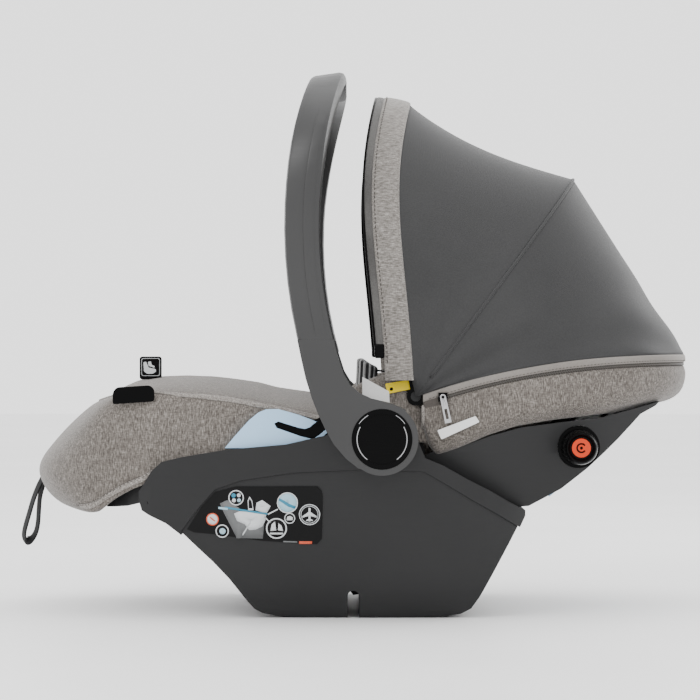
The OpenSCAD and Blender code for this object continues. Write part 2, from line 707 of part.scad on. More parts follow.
module handle_frame() {
    w = handle_w / 2;
    t = handle_t / 2;
    color(charcoal) placed() difference() {
        union() {
            bow_tube(w, t - 0.2);
            both_sides() between_y(198, hub_out) polygon(flare);
            both_sides() pin(hub, hub_r, 198, hub_out);
        }
        difference() {
            grip_zone(84);
            bow_tube(w - 2, t - 2.2);
        }
        both_sides() pin(hub, button_r + 0.4, 203, hub_out + 2);
        both_sides() pin(hub, 9.05, 190, 204);
    }
}
module handle_grip() {
    color(jet) placed() intersection() {
        grip_zone(83.6);
        difference() {
            bow_tube(handle_w / 2 + 0.3, handle_t / 2 + 0.1);
            bow_tube(handle_w / 2 - 2, handle_t / 2 - 2.2);
        }
    }
}
button_travel = 4;
module handle_button(side) {
    color(jet) placed() on_side(side) union() {
        difference() {
            pin(hub, button_r, hub_out - 5, hub_out + 0.8);
            // Ring moulded in the face.
            difference() {
                pin(hub, 24.8, hub_out + 0.3, hub_out + 2);
                pin(hub, 23.6, hub_out, hub_out + 3);
            }
        }
        // Toothed lock behind the face.
        pin(hub, 15, hub_out - 9, hub_out - 4.5);
        for (a = [0:30:330]) translate([hub[0] + 15 * cos(a), hub_out - 4.6, hub[1] + 15 * sin(a)])
            rotate([90, 0, 0]) cylinder(r = 2.2, h = 4.4, $fn = 14);
    }
}
module button_spring(side) {
    color(steel) placed() on_side(side) difference() {
        pin(hub, 13, 204.8, hub_out - 9.2);
        pin(hub, 11, 203, hub_out);
    }
}

// ---- Canopy ----

arch_steps = 24;
arch_n = 2 / 2.6;
// A point on an arch through the pivots: u runs from 0 on the left to 1 on the right.
function arch_r(u, r) = r * pow(max(0, sin(180 * u)), arch_n);
function arch_y(u, half) = -half * sign(cos(180 * u)) * pow(abs(cos(180 * u)), arch_n);
function polar(a, r, y) = [canopy_pivot[0] + r * cos(a), y, canopy_pivot[1] + r * sin(a)];
mid_angle = 53.2;
rear_angle = 8.4;
function mid_arch(o) = [for (i = [0:arch_steps]) let (u = i / arch_steps)
    polar(mid_angle, arch_r(u, canopy_mid_r + o), arch_y(u, canopy_half + o))];
// The front bow bellies forward between its foot and its top. e runs across the band, from 0 to 1.
function bow_belly(h) = -16 - 14 * sin(180 * pow(min(1, h), 1.6));
function front_point(u, o, e) = let (r = arch_r(u, canopy_front_r + o), h = r / canopy_front_r)
    [canopy_pivot[0] + bow_belly(h) + (e - 0.5) * band_w, arch_y(u, canopy_half + o),
     canopy_pivot[1] + max(r, 16 + 0.02 * r) - 5 * e * pow(h, 6)];
function front_arch(o, e) = [for (i = [0:arch_steps]) front_point(i / arch_steps, o, e)];
function rear_edge(o) = [for (i = [0:arch_steps]) let (p = head_point(i * head_steps / arch_steps, 2 - o))
    [p[0], p[1], zip_z(p[0]) + 1]];
sag = 12;
function between(a, b, t, drop) = [for (i = [0:arch_steps])
    mix(a[i], b[i], t) - [0, 0, drop * sin(180 * pow(t, 0.8)) * pow(sin(180 * i / arch_steps), 3)]];
panel_t = 2.5;
module canopy_front_panel() {
    color(canopy_grey) placed() slab(
        [for (k = [0:6]) between(front_arch(0, 1.02), mid_arch(0), k / 6 * 0.985, sag)],
        [for (k = [0:6]) between(front_arch(-panel_t, 1.02), mid_arch(-panel_t), k / 6 * 0.985, sag)]);
}
module canopy_rear_panel() {
    color(canopy_grey) placed() slab(
        [for (k = [0:6]) between(mid_arch(0), rear_edge(0), 0.015 + k / 6 * 0.985, 0)],
        [for (k = [0:6]) between(mid_arch(-panel_t), rear_edge(-panel_t), 0.015 + k / 6 * 0.985, 0)]);
}
module canopy_band() {
    color(melange) placed() slab([for (e = [0, 0.5, 1]) front_arch(3, e)], [for (e = [0, 0.5, 1]) front_arch(-panel_t, e)]);
}
module canopy_mid_bow() {
    function strip(o, da) = [for (i = [1:arch_steps - 1]) let (u = i / arch_steps)
        polar(mid_angle + da * 100 / (arch_r(u, canopy_mid_r) + 40), arch_r(u, canopy_mid_r + o), arch_y(u, canopy_half + o))];
    color(charcoal) placed() union() {
        slab([strip(-4, 2), strip(-4, -2)], [strip(-7.5, 2), strip(-7.5, -2)]);
        both_sides() difference() {
            between_y(168.6, 171.2) hull() {
                translate(canopy_pivot) circle(r = 9, $fn = fine);
                translate(canopy_pivot + 66 * [cos(mid_angle), sin(mid_angle)]) circle(r = 4, $fn = fine);
            }
            pin(canopy_pivot, 5.05, 160, 175);
        }
    }
}
module canopy_front_bow() {
    color(charcoal) placed() union() {
        slab([for (e = [0.2, 0.8]) [for (i = [2:arch_steps - 2]) front_point(i / arch_steps, -3.4, e)]],
             [for (e = [0.2, 0.8]) [for (i = [2:arch_steps - 2]) front_point(i / arch_steps, -7, e)]]);
        both_sides() difference() {
            between_y(164, 167.6) hull() {
                translate(canopy_pivot) circle(r = 9, $fn = fine);
                translate(canopy_pivot + [-23.5, 112]) circle(r = 5, $fn = fine);
            }
            pin(canopy_pivot, 5.05, 160, 175);
        }
    }
}

// ---- One node at a time ----

lower_shell();
shell_collar();
seat_deck();
front_foam();
seat_pad();
side_cover();
apron_rear();
hub_pivot(-1);  // hub_pivot_left
hub_pivot(1);  // hub_pivot_right
belt_guide(-1);  // belt_guide_left
belt_guide(1);  // belt_guide_right
side_label(-1);  // side_label_left
side_label(1);  // side_label_right
latch_hooks();
latch_shaft();
base_screws();
crotch_strap();
buckle_housing();
buckle_button();
chest_pads();
adjuster_housing();
adjuster_button();
leg_hinge_pin();
leg_shell();
leg_cover();
apron_front();
size_tag();
name_label();
pull_loop();
back_shell();
back_foam();
back_pad();
back_cover();
zip_tape();
zip_slider();
zip_pull();
cover_patch();
warning_labels();
headrest();
shoulder_straps();
shoulder_belt_guide();
recline_brackets();
canopy_pivots();
pod_sockets();
release_lever();
pod(-1);  // pod_left
pod(1);  // pod_right
pod_badge(-1);  // pod_badge_left
pod_badge(1);  // pod_badge_right
handle_frame();
handle_grip();
handle_button(-1);  // handle_button_left
handle_button(1);  // handle_button_right
button_spring(-1);  // button_spring_left
button_spring(1);  // button_spring_right
canopy_mid_bow();
canopy_rear_panel();
canopy_front_bow();
canopy_front_panel();
canopy_band();
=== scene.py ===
import json
import math

import bpy
import bmesh
import numpy as np
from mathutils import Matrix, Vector
from mathutils.bvhtree import BVHTree


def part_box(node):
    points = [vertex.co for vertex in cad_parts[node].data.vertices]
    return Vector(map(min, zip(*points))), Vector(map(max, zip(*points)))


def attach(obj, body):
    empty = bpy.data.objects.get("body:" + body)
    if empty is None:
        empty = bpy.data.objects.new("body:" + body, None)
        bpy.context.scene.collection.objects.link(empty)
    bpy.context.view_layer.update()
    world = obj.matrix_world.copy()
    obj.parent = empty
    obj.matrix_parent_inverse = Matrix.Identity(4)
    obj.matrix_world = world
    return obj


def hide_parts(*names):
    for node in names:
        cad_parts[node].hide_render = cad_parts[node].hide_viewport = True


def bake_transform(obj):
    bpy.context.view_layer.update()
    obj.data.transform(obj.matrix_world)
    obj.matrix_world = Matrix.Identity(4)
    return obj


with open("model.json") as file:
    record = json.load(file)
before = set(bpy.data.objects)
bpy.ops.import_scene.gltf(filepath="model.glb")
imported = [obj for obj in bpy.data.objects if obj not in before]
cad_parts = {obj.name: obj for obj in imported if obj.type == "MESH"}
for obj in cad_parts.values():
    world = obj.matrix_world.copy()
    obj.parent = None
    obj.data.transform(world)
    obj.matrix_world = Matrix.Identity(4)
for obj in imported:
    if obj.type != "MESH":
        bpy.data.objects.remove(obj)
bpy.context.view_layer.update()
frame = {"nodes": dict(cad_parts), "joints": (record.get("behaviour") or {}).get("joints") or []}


# ---------------------------------------------------------------- shared frame
# Everything below is in millimetres until it becomes a mesh. The axes come from
# the record's joints, and x values are counted from the middle of the padded body.
joints = {j["name"]: j for j in frame["joints"]}
hub = np.array(joints["handle_swing"]["pos_m"]) * 1000
pivot = np.array(joints["canopy_fold"]["pos_m"]) * 1000
SX = hub[0] - 18.0          # the shift between the drawing's x and the frame's x
PX, PZ = pivot[0] - SX, pivot[2]
CANOPY_HALF = 178.0
REAR_R = 284.0
FRONT_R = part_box("canopy_band")[1][2] * 1000 - pivot[2] - 3.0
MID_R = 279.0
BAND_W = 26.0
MID_A = math.radians(53.2)
RECLINE = math.atan2(94, 114)


def mm(p):
    """A point in the drawing, in mm, as a point in the frame, in metres."""
    return ((p[0] + SX) * 0.001, p[1] * 0.001, p[2] * 0.001)


def lerp(a, b, t):
    return a + (b - a) * t


def lookup(x, table):
    xs = [p[0] for p in table]
    zs = [p[1] for p in table]
    return float(np.interp(x, xs, zs))


def smooth(x, a, b):
    t = min(1.0, max(0.0, (x - a) / (b - a)))
    return t * t * (3 - 2 * t)


def signed_pow(v, e):
    """v to the power e, with v's sign kept: the shape of a superellipse."""
    return math.copysign(abs(v) ** e, v)


def arc_lengths(points):
    """The length along a polyline at each of its points."""
    return np.r_[0, np.cumsum(np.linalg.norm(np.diff(points, axis=0), axis=1))]


def at_length(s, d, points):
    """The point at length s on a polyline with arc lengths d."""
    return np.array([np.interp(s, d, points[:, k]) for k in range(3)])


def left_right(name, side):
    """The piece's or node's name with its side."""
    return name + ("_left" if side < 0 else "_right")


def catmull(points, n):
    """A smooth curve through points, as n + 1 samples."""
    p = np.array(points, float)
    d = np.r_[0, np.cumsum(np.linalg.norm(np.diff(p, axis=0), axis=1) ** 0.5)]
    out = []
    for s in np.linspace(0, d[-1], n + 1):
        i = min(len(p) - 2, max(0, int(np.searchsorted(d, s, side="right") - 1)))
        p0, p1, p2, p3 = p[max(i - 1, 0)], p[i], p[i + 1], p[min(i + 2, len(p) - 1)]
        h = d[i + 1] - d[i]
        t = (s - d[i]) / h
        m1 = (p2 - p0) / (d[i + 1] - d[max(i - 1, 0)]) * h
        m2 = (p3 - p1) / (d[min(i + 2, len(p) - 1)] - d[i]) * h
        t2, t3 = t * t, t * t * t
        out.append((2 * t3 - 3 * t2 + 1) * p1 + (t3 - 2 * t2 + t) * m1 + (3 * t2 - 2 * t3) * p2 + (t3 - t2)
                   * m2)
    return out


# ---------------------------------------------------------------- mesh helpers
def new_object(name, verts, faces, mat=None, flat=False):
    mesh = bpy.data.meshes.new(name)
    mesh.from_pydata([mm(v) for v in verts], [], faces)
    mesh.validate()
    mesh.update()
    ob = bpy.data.objects.new(name, mesh)
    bpy.context.scene.collection.objects.link(ob)
    if mat:
        mesh.materials.append(mat)
    if not flat:
        for p in mesh.polygons:
            p.use_smooth = True
    return ob


def grid(name, rows, mat=None, close=False, wrap=False):
    """A sheet through rows of points.

    close joins each row's end to its start, wrap the last row to the first.
    """
    n, m = len(rows), len(rows[0])
    verts = [tuple(map(float, p)) for row in rows for p in row]
    faces = []
    for i in range(n if wrap else n - 1):
        for j in range(m if close else m - 1):
            a, b = i * m + j, i * m + (j + 1) % m
            c, d = ((i + 1) % n) * m + (j + 1) % m, ((i + 1) % n) * m + j
            faces.append((a, b, c, d))
    return new_object(name, verts, faces, mat)


def tube(name, path, r, mat=None, sides=10, closed=False, flat=None, caps=True):
    """A round or oval tube along path. flat is (half width, half height, up vector) for a strap."""
    p = [np.array(q, float) for q in path]
    n = len(p)
    rows = []
    ref = np.array([0.0, 0.0, 1.0]) if flat is None else np.array(flat[2], float)
    for i in range(n):
        a = p[(i - 1) % n] if closed or i > 0 else p[i]
        b = p[(i + 1) % n] if closed or i < n - 1 else p[i]
        t = (b - a) / np.linalg.norm(b - a)
        u = ref - t * ref.dot(t)
        if np.linalg.norm(u) < 1e-3:
            u = np.array([1.0, 0.0, 0.0]) - t * t[0]
        u /= np.linalg.norm(u)
        if flat is None:
            ref = u
        v = np.cross(t, u)
        row = []
        for k in range(sides):
            ang = 2 * math.pi * k / sides
            if flat is None:
                row.append(p[i] + r * (u * math.cos(ang) + v * math.sin(ang)))
            else:
                ca, sa = math.cos(ang), math.sin(ang)
                e = 0.35
                row.append(p[i] + v * flat[0] * signed_pow(ca, e) + u * flat[1] * signed_pow(sa, e))
        rows.append(row)
    ob = grid(name, rows, mat, close=True, wrap=closed)
    if not closed and caps:
        fill_holes(ob)
    return ob


def fill_holes(ob):
    bm = bmesh.new()
    bm.from_mesh(ob.data)
    bmesh.ops.holes_fill(bm, edges=[e for e in bm.edges if e.is_boundary], sides=0)
    bm.to_mesh(ob.data)
    bm.free()


def solid_box(name, lo, hi, mat=None, bevel=1.0, seg=3):
    verts = [(x, y, z) for x in (lo[0], hi[0]) for y in (lo[1], hi[1]) for z in (lo[2], hi[2])]
    faces = [(0, 1, 3, 2), (4, 6, 7, 5), (0, 4, 5, 1), (2, 3, 7, 6), (0, 2, 6, 4), (1, 5, 7, 3)]
    ob = new_object(name, verts, faces, mat)
    if bevel:
        m = ob.modifiers.new("b", "BEVEL")
        m.width = bevel * 0.001
        m.segments = seg
        m.limit_method = "ANGLE"
    return ob


def bake(ob):
    """Puts the modifiers' result in the mesh."""
    deps = bpy.context.evaluated_depsgraph_get()
    made = bpy.data.meshes.new_from_object(ob.evaluated_get(deps), preserve_all_data_layers=True,
                                           depsgraph=deps)
    ob.modifiers.clear()
    old = ob.data
    ob.data = made
    bpy.data.meshes.remove(old)
    for p in ob.data.polygons:
        p.use_smooth = True
    return ob


def thicken(ob, t, offset=-1.0, sub=0, rim=True, crease=0.0):
    """Gives a sheet a thickness of t mm and sub rounds of subdivision, then bakes it."""
    if t:
        m = ob.modifiers.new("t", "SOLIDIFY")
        m.thickness = t * 0.001
        m.offset = offset
        m.use_rim = rim
        m.edge_crease_rim = crease
    if sub:
        m = ob.modifiers.new("s", "SUBSURF")
        m.levels = sub
        m.render_levels = sub
    return bake(ob)


def outward(ob):
    bm = bmesh.new()
    bm.from_mesh(ob.data)
    bmesh.ops.recalc_face_normals(bm, faces=bm.faces)
    bm.to_mesh(ob.data)
    bm.free()
    return ob


def join(name, obs):
    """Joins meshes into one object. The first one's materials come first."""
    bm = bmesh.new()
    mats = []
    for o in obs:
        index = {}
        for i, m in enumerate(o.data.materials):
            if m not in mats:
                mats.append(m)
            index[i] = mats.index(m)
        tmp = bmesh.new()
        tmp.from_mesh(o.data)
        tmp.transform(o.matrix_world)
        for f in tmp.faces:
            f.material_index = index.get(f.material_index, 0)
        me = bpy.data.meshes.new("tmp")
        tmp.to_mesh(me)
        tmp.free()
        bm.from_mesh(me)
        bpy.data.meshes.remove(me)
    mesh = bpy.data.meshes.new(name)
    bm.to_mesh(mesh)
    bm.free()
    for m in mats:
        mesh.materials.append(m)
    for o in obs:
        old = o.data
        bpy.data.objects.remove(o)
        if old.users == 0:
            bpy.data.meshes.remove(old)
    ob = bpy.data.objects.new(name, mesh)
    bpy.context.scene.collection.objects.link(ob)
    return ob


def stitches(name, path, mat, length=2.6, gap=1.5, r=0.42, lift=(0, 0, 0)):
    """A row of small thread stitches along path."""
    p = np.array(path, float) + np.array(lift, float)
    d = arc_lengths(p)
    verts, faces = [], []
    s = gap
    while s + length < d[-1]:
        a = at_length(s, d, p)
        b = at_length(s + length, d, p)
        t = (b - a) / np.linalg.norm(b - a)
        u = np.cross(t, [0.31, 0.52, 0.79])
        u /= np.linalg.norm(u)
        v = np.cross(t, u)
        base = len(verts)
        for q, w in ((a, 0.35), (lerp(a, b, 0.25), 1.0), (lerp(a, b, 0.75), 1.0), (b, 0.35)):
            for k in range(5):
                ang = 2 * math.pi * k / 5
                verts.append(q + (u * math.cos(ang) + v * math.sin(ang)) * r * w)
        for i in range(3):
            for k in range(5):
                faces.append((base + i * 5 + k, base + i * 5 + (k + 1) % 5, base + i * 5 + 5 + (k + 1) % 5,
                              base + i * 5 + 5 + k))
        faces.append(tuple(base + k for k in range(4, -1, -1)))
        faces.append(tuple(base + 15 + k for k in range(5)))
        s += length + gap
    return new_object(name, verts, faces, mat)


# ---------------------------------------------------------------- materials
def nodes_of(name):
    mat = bpy.data.materials.new(name)
    mat.use_nodes = True
    nt = mat.node_tree
    nt.nodes.clear()
    out = nt.nodes.new("ShaderNodeOutputMaterial")
    bsdf = nt.nodes.new("ShaderNodeBsdfPrincipled")
    nt.links.new(bsdf.outputs[0], out.inputs[0])
    return mat, nt, bsdf


def ramp(nt, source, stops):
    n = nt.nodes.new("ShaderNodeValToRGB")
    while len(n.color_ramp.elements) < len(stops):
        n.color_ramp.elements.new(0.5)
    for e, (pos, col) in zip(n.color_ramp.elements, stops):
        e.position = pos
        e.color = (*col, 1) if len(col) == 3 else col
    nt.links.new(source, n.inputs[0])
    return n


def coords(nt, scale=(1, 1, 1), rot=(0, 0, 0)):
    tc = nt.nodes.new("ShaderNodeTexCoord")
    mp = nt.nodes.new("ShaderNodeMapping")
    mp.inputs["Scale"].default_value = scale
    mp.inputs["Rotation"].default_value = rot
    nt.links.new(tc.outputs["Object"], mp.inputs[0])
    return mp.outputs[0]


def noise(nt, vec, scale, detail=2.0, rough=0.5):
    n = nt.nodes.new("ShaderNodeTexNoise")
    n.inputs["Scale"].default_value = scale
    n.inputs["Detail"].default_value = detail
    n.inputs["Roughness"].default_value = rough
    nt.links.new(vec, n.inputs["Vector"])
    return n.outputs["Fac"]


def math_node(nt, op, a, b=None, clamp=False):
    n = nt.nodes.new("ShaderNodeMath")
    n.operation = op
    n.use_clamp = clamp
    for i, v in enumerate((a, b)):
        if v is None:
            continue
        if isinstance(v, (int, float)):
            n.inputs[i].default_value = v
        else:
            nt.links.new(v, n.inputs[i])
    return n.outputs[0]


def weighted(nt, *parts):
    """Adds up sockets, each times its weight."""
    total = None
    for socket, weight in parts:
        term = math_node(nt, "MULTIPLY", socket, weight)
        total = term if total is None else math_node(nt, "ADD", total, term)
    return total


def surface(bsdf, **values):
    """Sets the shader's inputs. An underscore in a name stands for a space."""
    for key, value in values.items():
        bsdf.inputs[key.replace("_", " ")].default_value = value


def bump(nt, bsdf, height, strength=0.3, dist=0.0005):
    n = nt.nodes.new("ShaderNodeBump")
    n.inputs["Strength"].default_value = strength
    n.inputs["Distance"].default_value = dist
    nt.links.new(height, n.inputs["Height"])
    nt.links.new(n.outputs[0], bsdf.inputs["Normal"])


def weave(nt, vec_scale=(1, 1, 1), pitch=0.0009, rot=(0, 0, 0)):
    """A woven height field: threads over and under in two directions on each of three planes."""
    v = coords(nt, vec_scale, rot)
    sep = nt.nodes.new("ShaderNodeSeparateXYZ")
    nt.links.new(v, sep.inputs[0])
    k = math.pi * 2 / pitch
    waves = []
    for axis in range(3):
        s = math_node(nt, "MULTIPLY", sep.outputs[axis], k)
        waves.append(math_node(nt, "SINE", s))
    ab = math_node(nt, "MULTIPLY", waves[0], waves[2])
    bc = math_node(nt, "MULTIPLY", waves[1], waves[2])
    return math_node(nt, "ADD", ab, bc)


def fabric_melange(name, tones, streak=(1100, 1100, 190), rot=(0, 0, 0), rough=0.92, sheen=0.25):
    """Two-tone yarn with long thin slubs."""
    mat, nt, b = nodes_of(name)
    vec = coords(nt, streak, rot)
    n1 = noise(nt, vec, 1.0, 2.0, 0.6)
    vec2 = coords(nt, (streak[2] * 1.6, streak[2] * 1.6, streak[0] * 0.8), rot)
    n2 = noise(nt, vec2, 1.0, 1.0, 0.5)
    n3 = noise(nt, coords(nt), 9.0, 2.0, 0.5)
    s = weighted(nt, (n1, 0.66), (n2, 0.24), (n3, 0.10))
    col = ramp(nt, s, [(0.36, tones[0]), (0.47, tones[1]), (0.56, tones[2]), (0.66, tones[3])])
    nt.links.new(col.outputs[0], b.inputs["Base Color"])
    surface(b, Roughness=rough, Sheen_Weight=sheen, Sheen_Roughness=0.5, Specular_IOR_Level=0.2)
    w = weave(nt, pitch=0.0016, rot=rot)
    h = weighted(nt, (w, 0.35), (n1, 1.0))
    bump(nt, b, h, 0.45, 0.0004)
    return mat


def fabric_plain(name, dark, light, pitch=0.0012, rough=0.8, sheen=0.35, strength=0.2, spec=0.25):
    mat, nt, b = nodes_of(name)
    n1 = noise(nt, coords(nt), 700.0, 2.0, 0.6)
    n2 = noise(nt, coords(nt), 14.0, 3.0, 0.55)
    s = weighted(nt, (n1, 0.45), (n2, 0.55))
    col = ramp(nt, s, [(0.35, dark), (0.65, light)])
    nt.links.new(col.outputs[0], b.inputs["Base Color"])
    rr = ramp(nt, n2, [(0.3, (rough - 0.06,) * 3), (0.7, (rough + 0.06,) * 3)])
    nt.links.new(rr.outputs[0], b.inputs["Roughness"])
    surface(b, Sheen_Weight=sheen, Sheen_Roughness=0.45, Specular_IOR_Level=spec)
    w = weave(nt, pitch=pitch)
    h = math_node(nt, "ADD", w, math_node(nt, "MULTIPLY", n1, 0.5))
    bump(nt, b, h, strength, 0.0003)
    return mat


def plastic(name, dark, light, rough=0.45, grain=1600.0, strength=0.12, coat=0.0, spec=0.5):
    """Moulded plastic: fine spark-eroded grain, slow changes of gloss and faint scuffs."""
    mat, nt, b = nodes_of(name)
    n1 = noise(nt, coords(nt), grain, 2.0, 0.6)
    n2 = noise(nt, coords(nt), 6.0, 3.0, 0.55)
    n3 = noise(nt, coords(nt, (1, 1, 9), (0.4, 0.9, 0.2)), 60.0, 4.0, 0.7)
    col = ramp(nt, weighted(nt, (n2, 0.8), (n1, 0.2)), [(0.35, dark), (0.65, light)])
    nt.links.new(col.outputs[0], b.inputs["Base Color"])
    s = weighted(nt, (n2, 0.5), (n3, 0.5))
    rr = ramp(nt, s, [(0.35, (rough - 0.05,) * 3), (0.65, (rough + 0.07,) * 3)])
    nt.links.new(rr.outputs[0], b.inputs["Roughness"])
    surface(b, Specular_IOR_Level=spec, Coat_Weight=coat, Coat_Roughness=0.15)
    bump(nt, b, n1, strength, 0.00015)
    return mat


def metal(name, col, rough=0.28):
    mat, nt, b = nodes_of(name)
    n1 = noise(nt, coords(nt, (1, 1, 12)), 900.0, 2.0, 0.6)
    n2 = noise(nt, coords(nt), 30.0, 2.0, 0.5)
    c = ramp(nt, n2, [(0.3, tuple(v * 0.85 for v in col)), (0.7, col)])
    nt.links.new(c.outputs[0], b.inputs["Base Color"])
    rr = ramp(nt, weighted(nt, (n1, 0.5), (n2, 0.5)), [(0.3, (rough - 0.07,) * 3), (0.7, (rough + 0.1,) * 3)])
    nt.links.new(rr.outputs[0], b.inputs["Roughness"])
    b.inputs["Metallic"].default_value = 1.0
    bump(nt, b, n1, 0.08, 0.0001)
    return mat


def webbing(name, dark, light, pitch=0.0022):
    """Herringbone webbing: ribs across the strap's length."""
    mat, nt, b = nodes_of(name)
    v = coords(nt)
    sep = nt.nodes.new("ShaderNodeSeparateXYZ")
    nt.links.new(v, sep.inputs[0])
    k = math.pi * 2 / pitch
    y = math_node(nt, "SINE", math_node(nt, "MULTIPLY", sep.outputs[1], k))
    x = math_node(nt, "SINE", math_node(nt, "MULTIPLY", math_node(nt, "ADD", sep.outputs[0], sep.outputs[2]),
                                        k * 1.3))
    w = math_node(nt, "MULTIPLY", x, y)
    n1 = noise(nt, v, 900.0, 1.0, 0.5)
    s = math_node(nt, "ADD", math_node(nt, "MULTIPLY", w, 0.3), n1)
    col = ramp(nt, s, [(0.3, dark), (0.8, light)])
    nt.links.new(col.outputs[0], b.inputs["Base Color"])
    surface(b, Roughness=0.62, Sheen_Weight=0.04, Specular_IOR_Level=0.15)
    bump(nt, b, w, 0.5, 0.0003)
    return mat


M = {}
warm = [(0.050, 0.043, 0.037), (0.098, 0.086, 0.076), (0.155, 0.139, 0.124), (0.245, 0.224, 0.203)]
pale = [(0.085, 0.077, 0.069), (0.150, 0.138, 0.126), (0.215, 0.200, 0.184), (0.320, 0.302, 0.284)]
trim = [(0.092, 0.083, 0.074), (0.165, 0.150, 0.136), (0.245, 0.226, 0.207), (0.350, 0.328, 0.304)]
M["melange"] = fabric_melange("melange_fabric", warm)
M["melange_band"] = fabric_melange("melange_band", pale, streak=(190, 1100, 1100))
M["edge_grey"] = fabric_plain("edge_grey", (0.045, 0.043, 0.041), (0.095, 0.092, 0.088), pitch=0.0011,
                              rough=0.7, sheen=0.2, strength=0.3)
M["melange_hem"] = fabric_melange("melange_hem", trim, streak=(700, 700, 700))
M["canopy"] = fabric_plain("canopy_fabric", (0.0205, 0.0205, 0.0210), (0.0310, 0.0310, 0.0315), pitch=0.0013,
                           rough=0.66, sheen=0.10, strength=0.14)
M["canopy_in"] = fabric_plain("canopy_inside", (0.018, 0.018, 0.019), (0.028, 0.028, 0.029), rough=0.85,
                              sheen=0.12)
M["lining"] = fabric_plain("lining_fabric", (0.030, 0.029, 0.028), (0.055, 0.053, 0.051), pitch=0.002,
                           rough=0.9, sheen=0.2, strength=0.35)
M["binding"] = fabric_plain("binding_tape", (0.150, 0.137, 0.124), (0.205, 0.188, 0.172), pitch=0.001,
                            rough=0.75, sheen=0.2, strength=0.2)
M["zip_tape"] = fabric_plain("zip_tape_fabric", (0.050, 0.043, 0.038), (0.080, 0.070, 0.063), pitch=0.0009,
                             rough=0.8, sheen=0.15, strength=0.3)
M["zip_coil"] = plastic("zip_coil", (0.045, 0.039, 0.034), (0.062, 0.054, 0.047), rough=0.35, strength=0.05)
M["thread"] = fabric_plain("thread_dark", (0.035, 0.030, 0.026), (0.060, 0.052, 0.046), pitch=0.0006, rough=0.7,
                           sheen=0.1)
M["thread_light"] = fabric_plain("thread_light", (0.20, 0.184, 0.168), (0.27, 0.25, 0.232), pitch=0.0006,
                                 rough=0.7, sheen=0.1)
M["shell"] = plastic("shell_plastic", (0.0100, 0.0100, 0.0105), (0.0135, 0.0135, 0.0140), rough=0.50,
                     strength=0.16, spec=0.26)
M["collar"] = plastic("collar_plastic", (0.0085, 0.0085, 0.0090), (0.0115, 0.0115, 0.0120), rough=0.46,
                      strength=0.14, spec=0.26)
M["handle"] = plastic("handle_plastic", (0.0180, 0.0180, 0.0183), (0.0235, 0.0235, 0.0238), rough=0.38,
                      strength=0.14, spec=0.40)
M["grip"] = plastic("grip_rubber", (0.020, 0.020, 0.021), (0.028, 0.028, 0.029), rough=0.62, strength=0.3)
M["black"] = plastic("black_plastic", (0.0010, 0.0010, 0.0011), (0.0016, 0.0016, 0.0017), rough=0.24,
                     strength=0.05, spec=0.05)
M["blue"] = plastic("belt_guide_blue", (0.31, 0.48, 0.66), (0.35, 0.53, 0.72), rough=0.36, strength=0.05,
                    coat=0.1)
M["orange"] = plastic("badge_orange", (0.46, 0.030, 0.004), (0.52, 0.038, 0.006), rough=0.4, strength=0.03,
                      spec=0.2)
M["red"] = plastic("button_red", (0.50, 0.010, 0.010), (0.60, 0.016, 0.014), rough=0.33, strength=0.04,
                   coat=0.2)
M["steel"] = metal("steel", (0.42, 0.42, 0.43))
M["ring"] = metal("ring_print", (0.36, 0.36, 0.37), rough=0.35)
M["foam"] = plastic("foam", (0.78, 0.78, 0.76), (0.86, 0.86, 0.84), rough=0.8, grain=500, strength=0.6)
M["webbing"] = webbing("webbing", (0.0030, 0.0030, 0.0034), (0.0085, 0.0085, 0.0092))
M["label"] = plastic("label_black", (0.0022, 0.0022, 0.0024), (0.0034, 0.0034, 0.0036), rough=0.42,
                     strength=0.03, spec=0.12)
PRINTS = {
    "print_white": ((0.46, 0.48, 0.49), (0.52, 0.54, 0.55)),
    "print_grey": ((0.085, 0.088, 0.090), (0.105, 0.108, 0.110)),
    "print_teal": ((0.010, 0.150, 0.240), (0.018, 0.180, 0.280)),
    "print_sky": ((0.26, 0.42, 0.50), (0.30, 0.46, 0.54)),
    "print_grey_light": ((0.26, 0.27, 0.275), (0.31, 0.32, 0.325)),
    "print_orange": ((0.46, 0.050, 0.012), (0.52, 0.065, 0.016)),
}
for ink, (dark, light) in PRINTS.items():
    M[ink] = plastic(ink, dark, light, rough=0.5, strength=0.02)
M["tag_white"] = fabric_plain("tag_white", (0.62, 0.62, 0.61), (0.70, 0.70, 0.69), pitch=0.0008, rough=0.7,
                              sheen=0.1, strength=0.1)
M["tag_yellow"] = fabric_plain("tag_yellow", (0.68, 0.50, 0.004), (0.74, 0.56, 0.008), pitch=0.0008, rough=0.6,
                               sheen=0.05, strength=0.08)
M["pad_grey"] = fabric_plain("chest_pad_grey", (0.22, 0.22, 0.22), (0.32, 0.32, 0.32), pitch=0.0014, rough=0.8,
                             sheen=0.3, strength=0.4)
M["pad_dark"] = fabric_plain("chest_pad_dark", (0.014, 0.014, 0.015), (0.024, 0.024, 0.025), pitch=0.0014,
                             rough=0.85, sheen=0.3, strength=0.4)


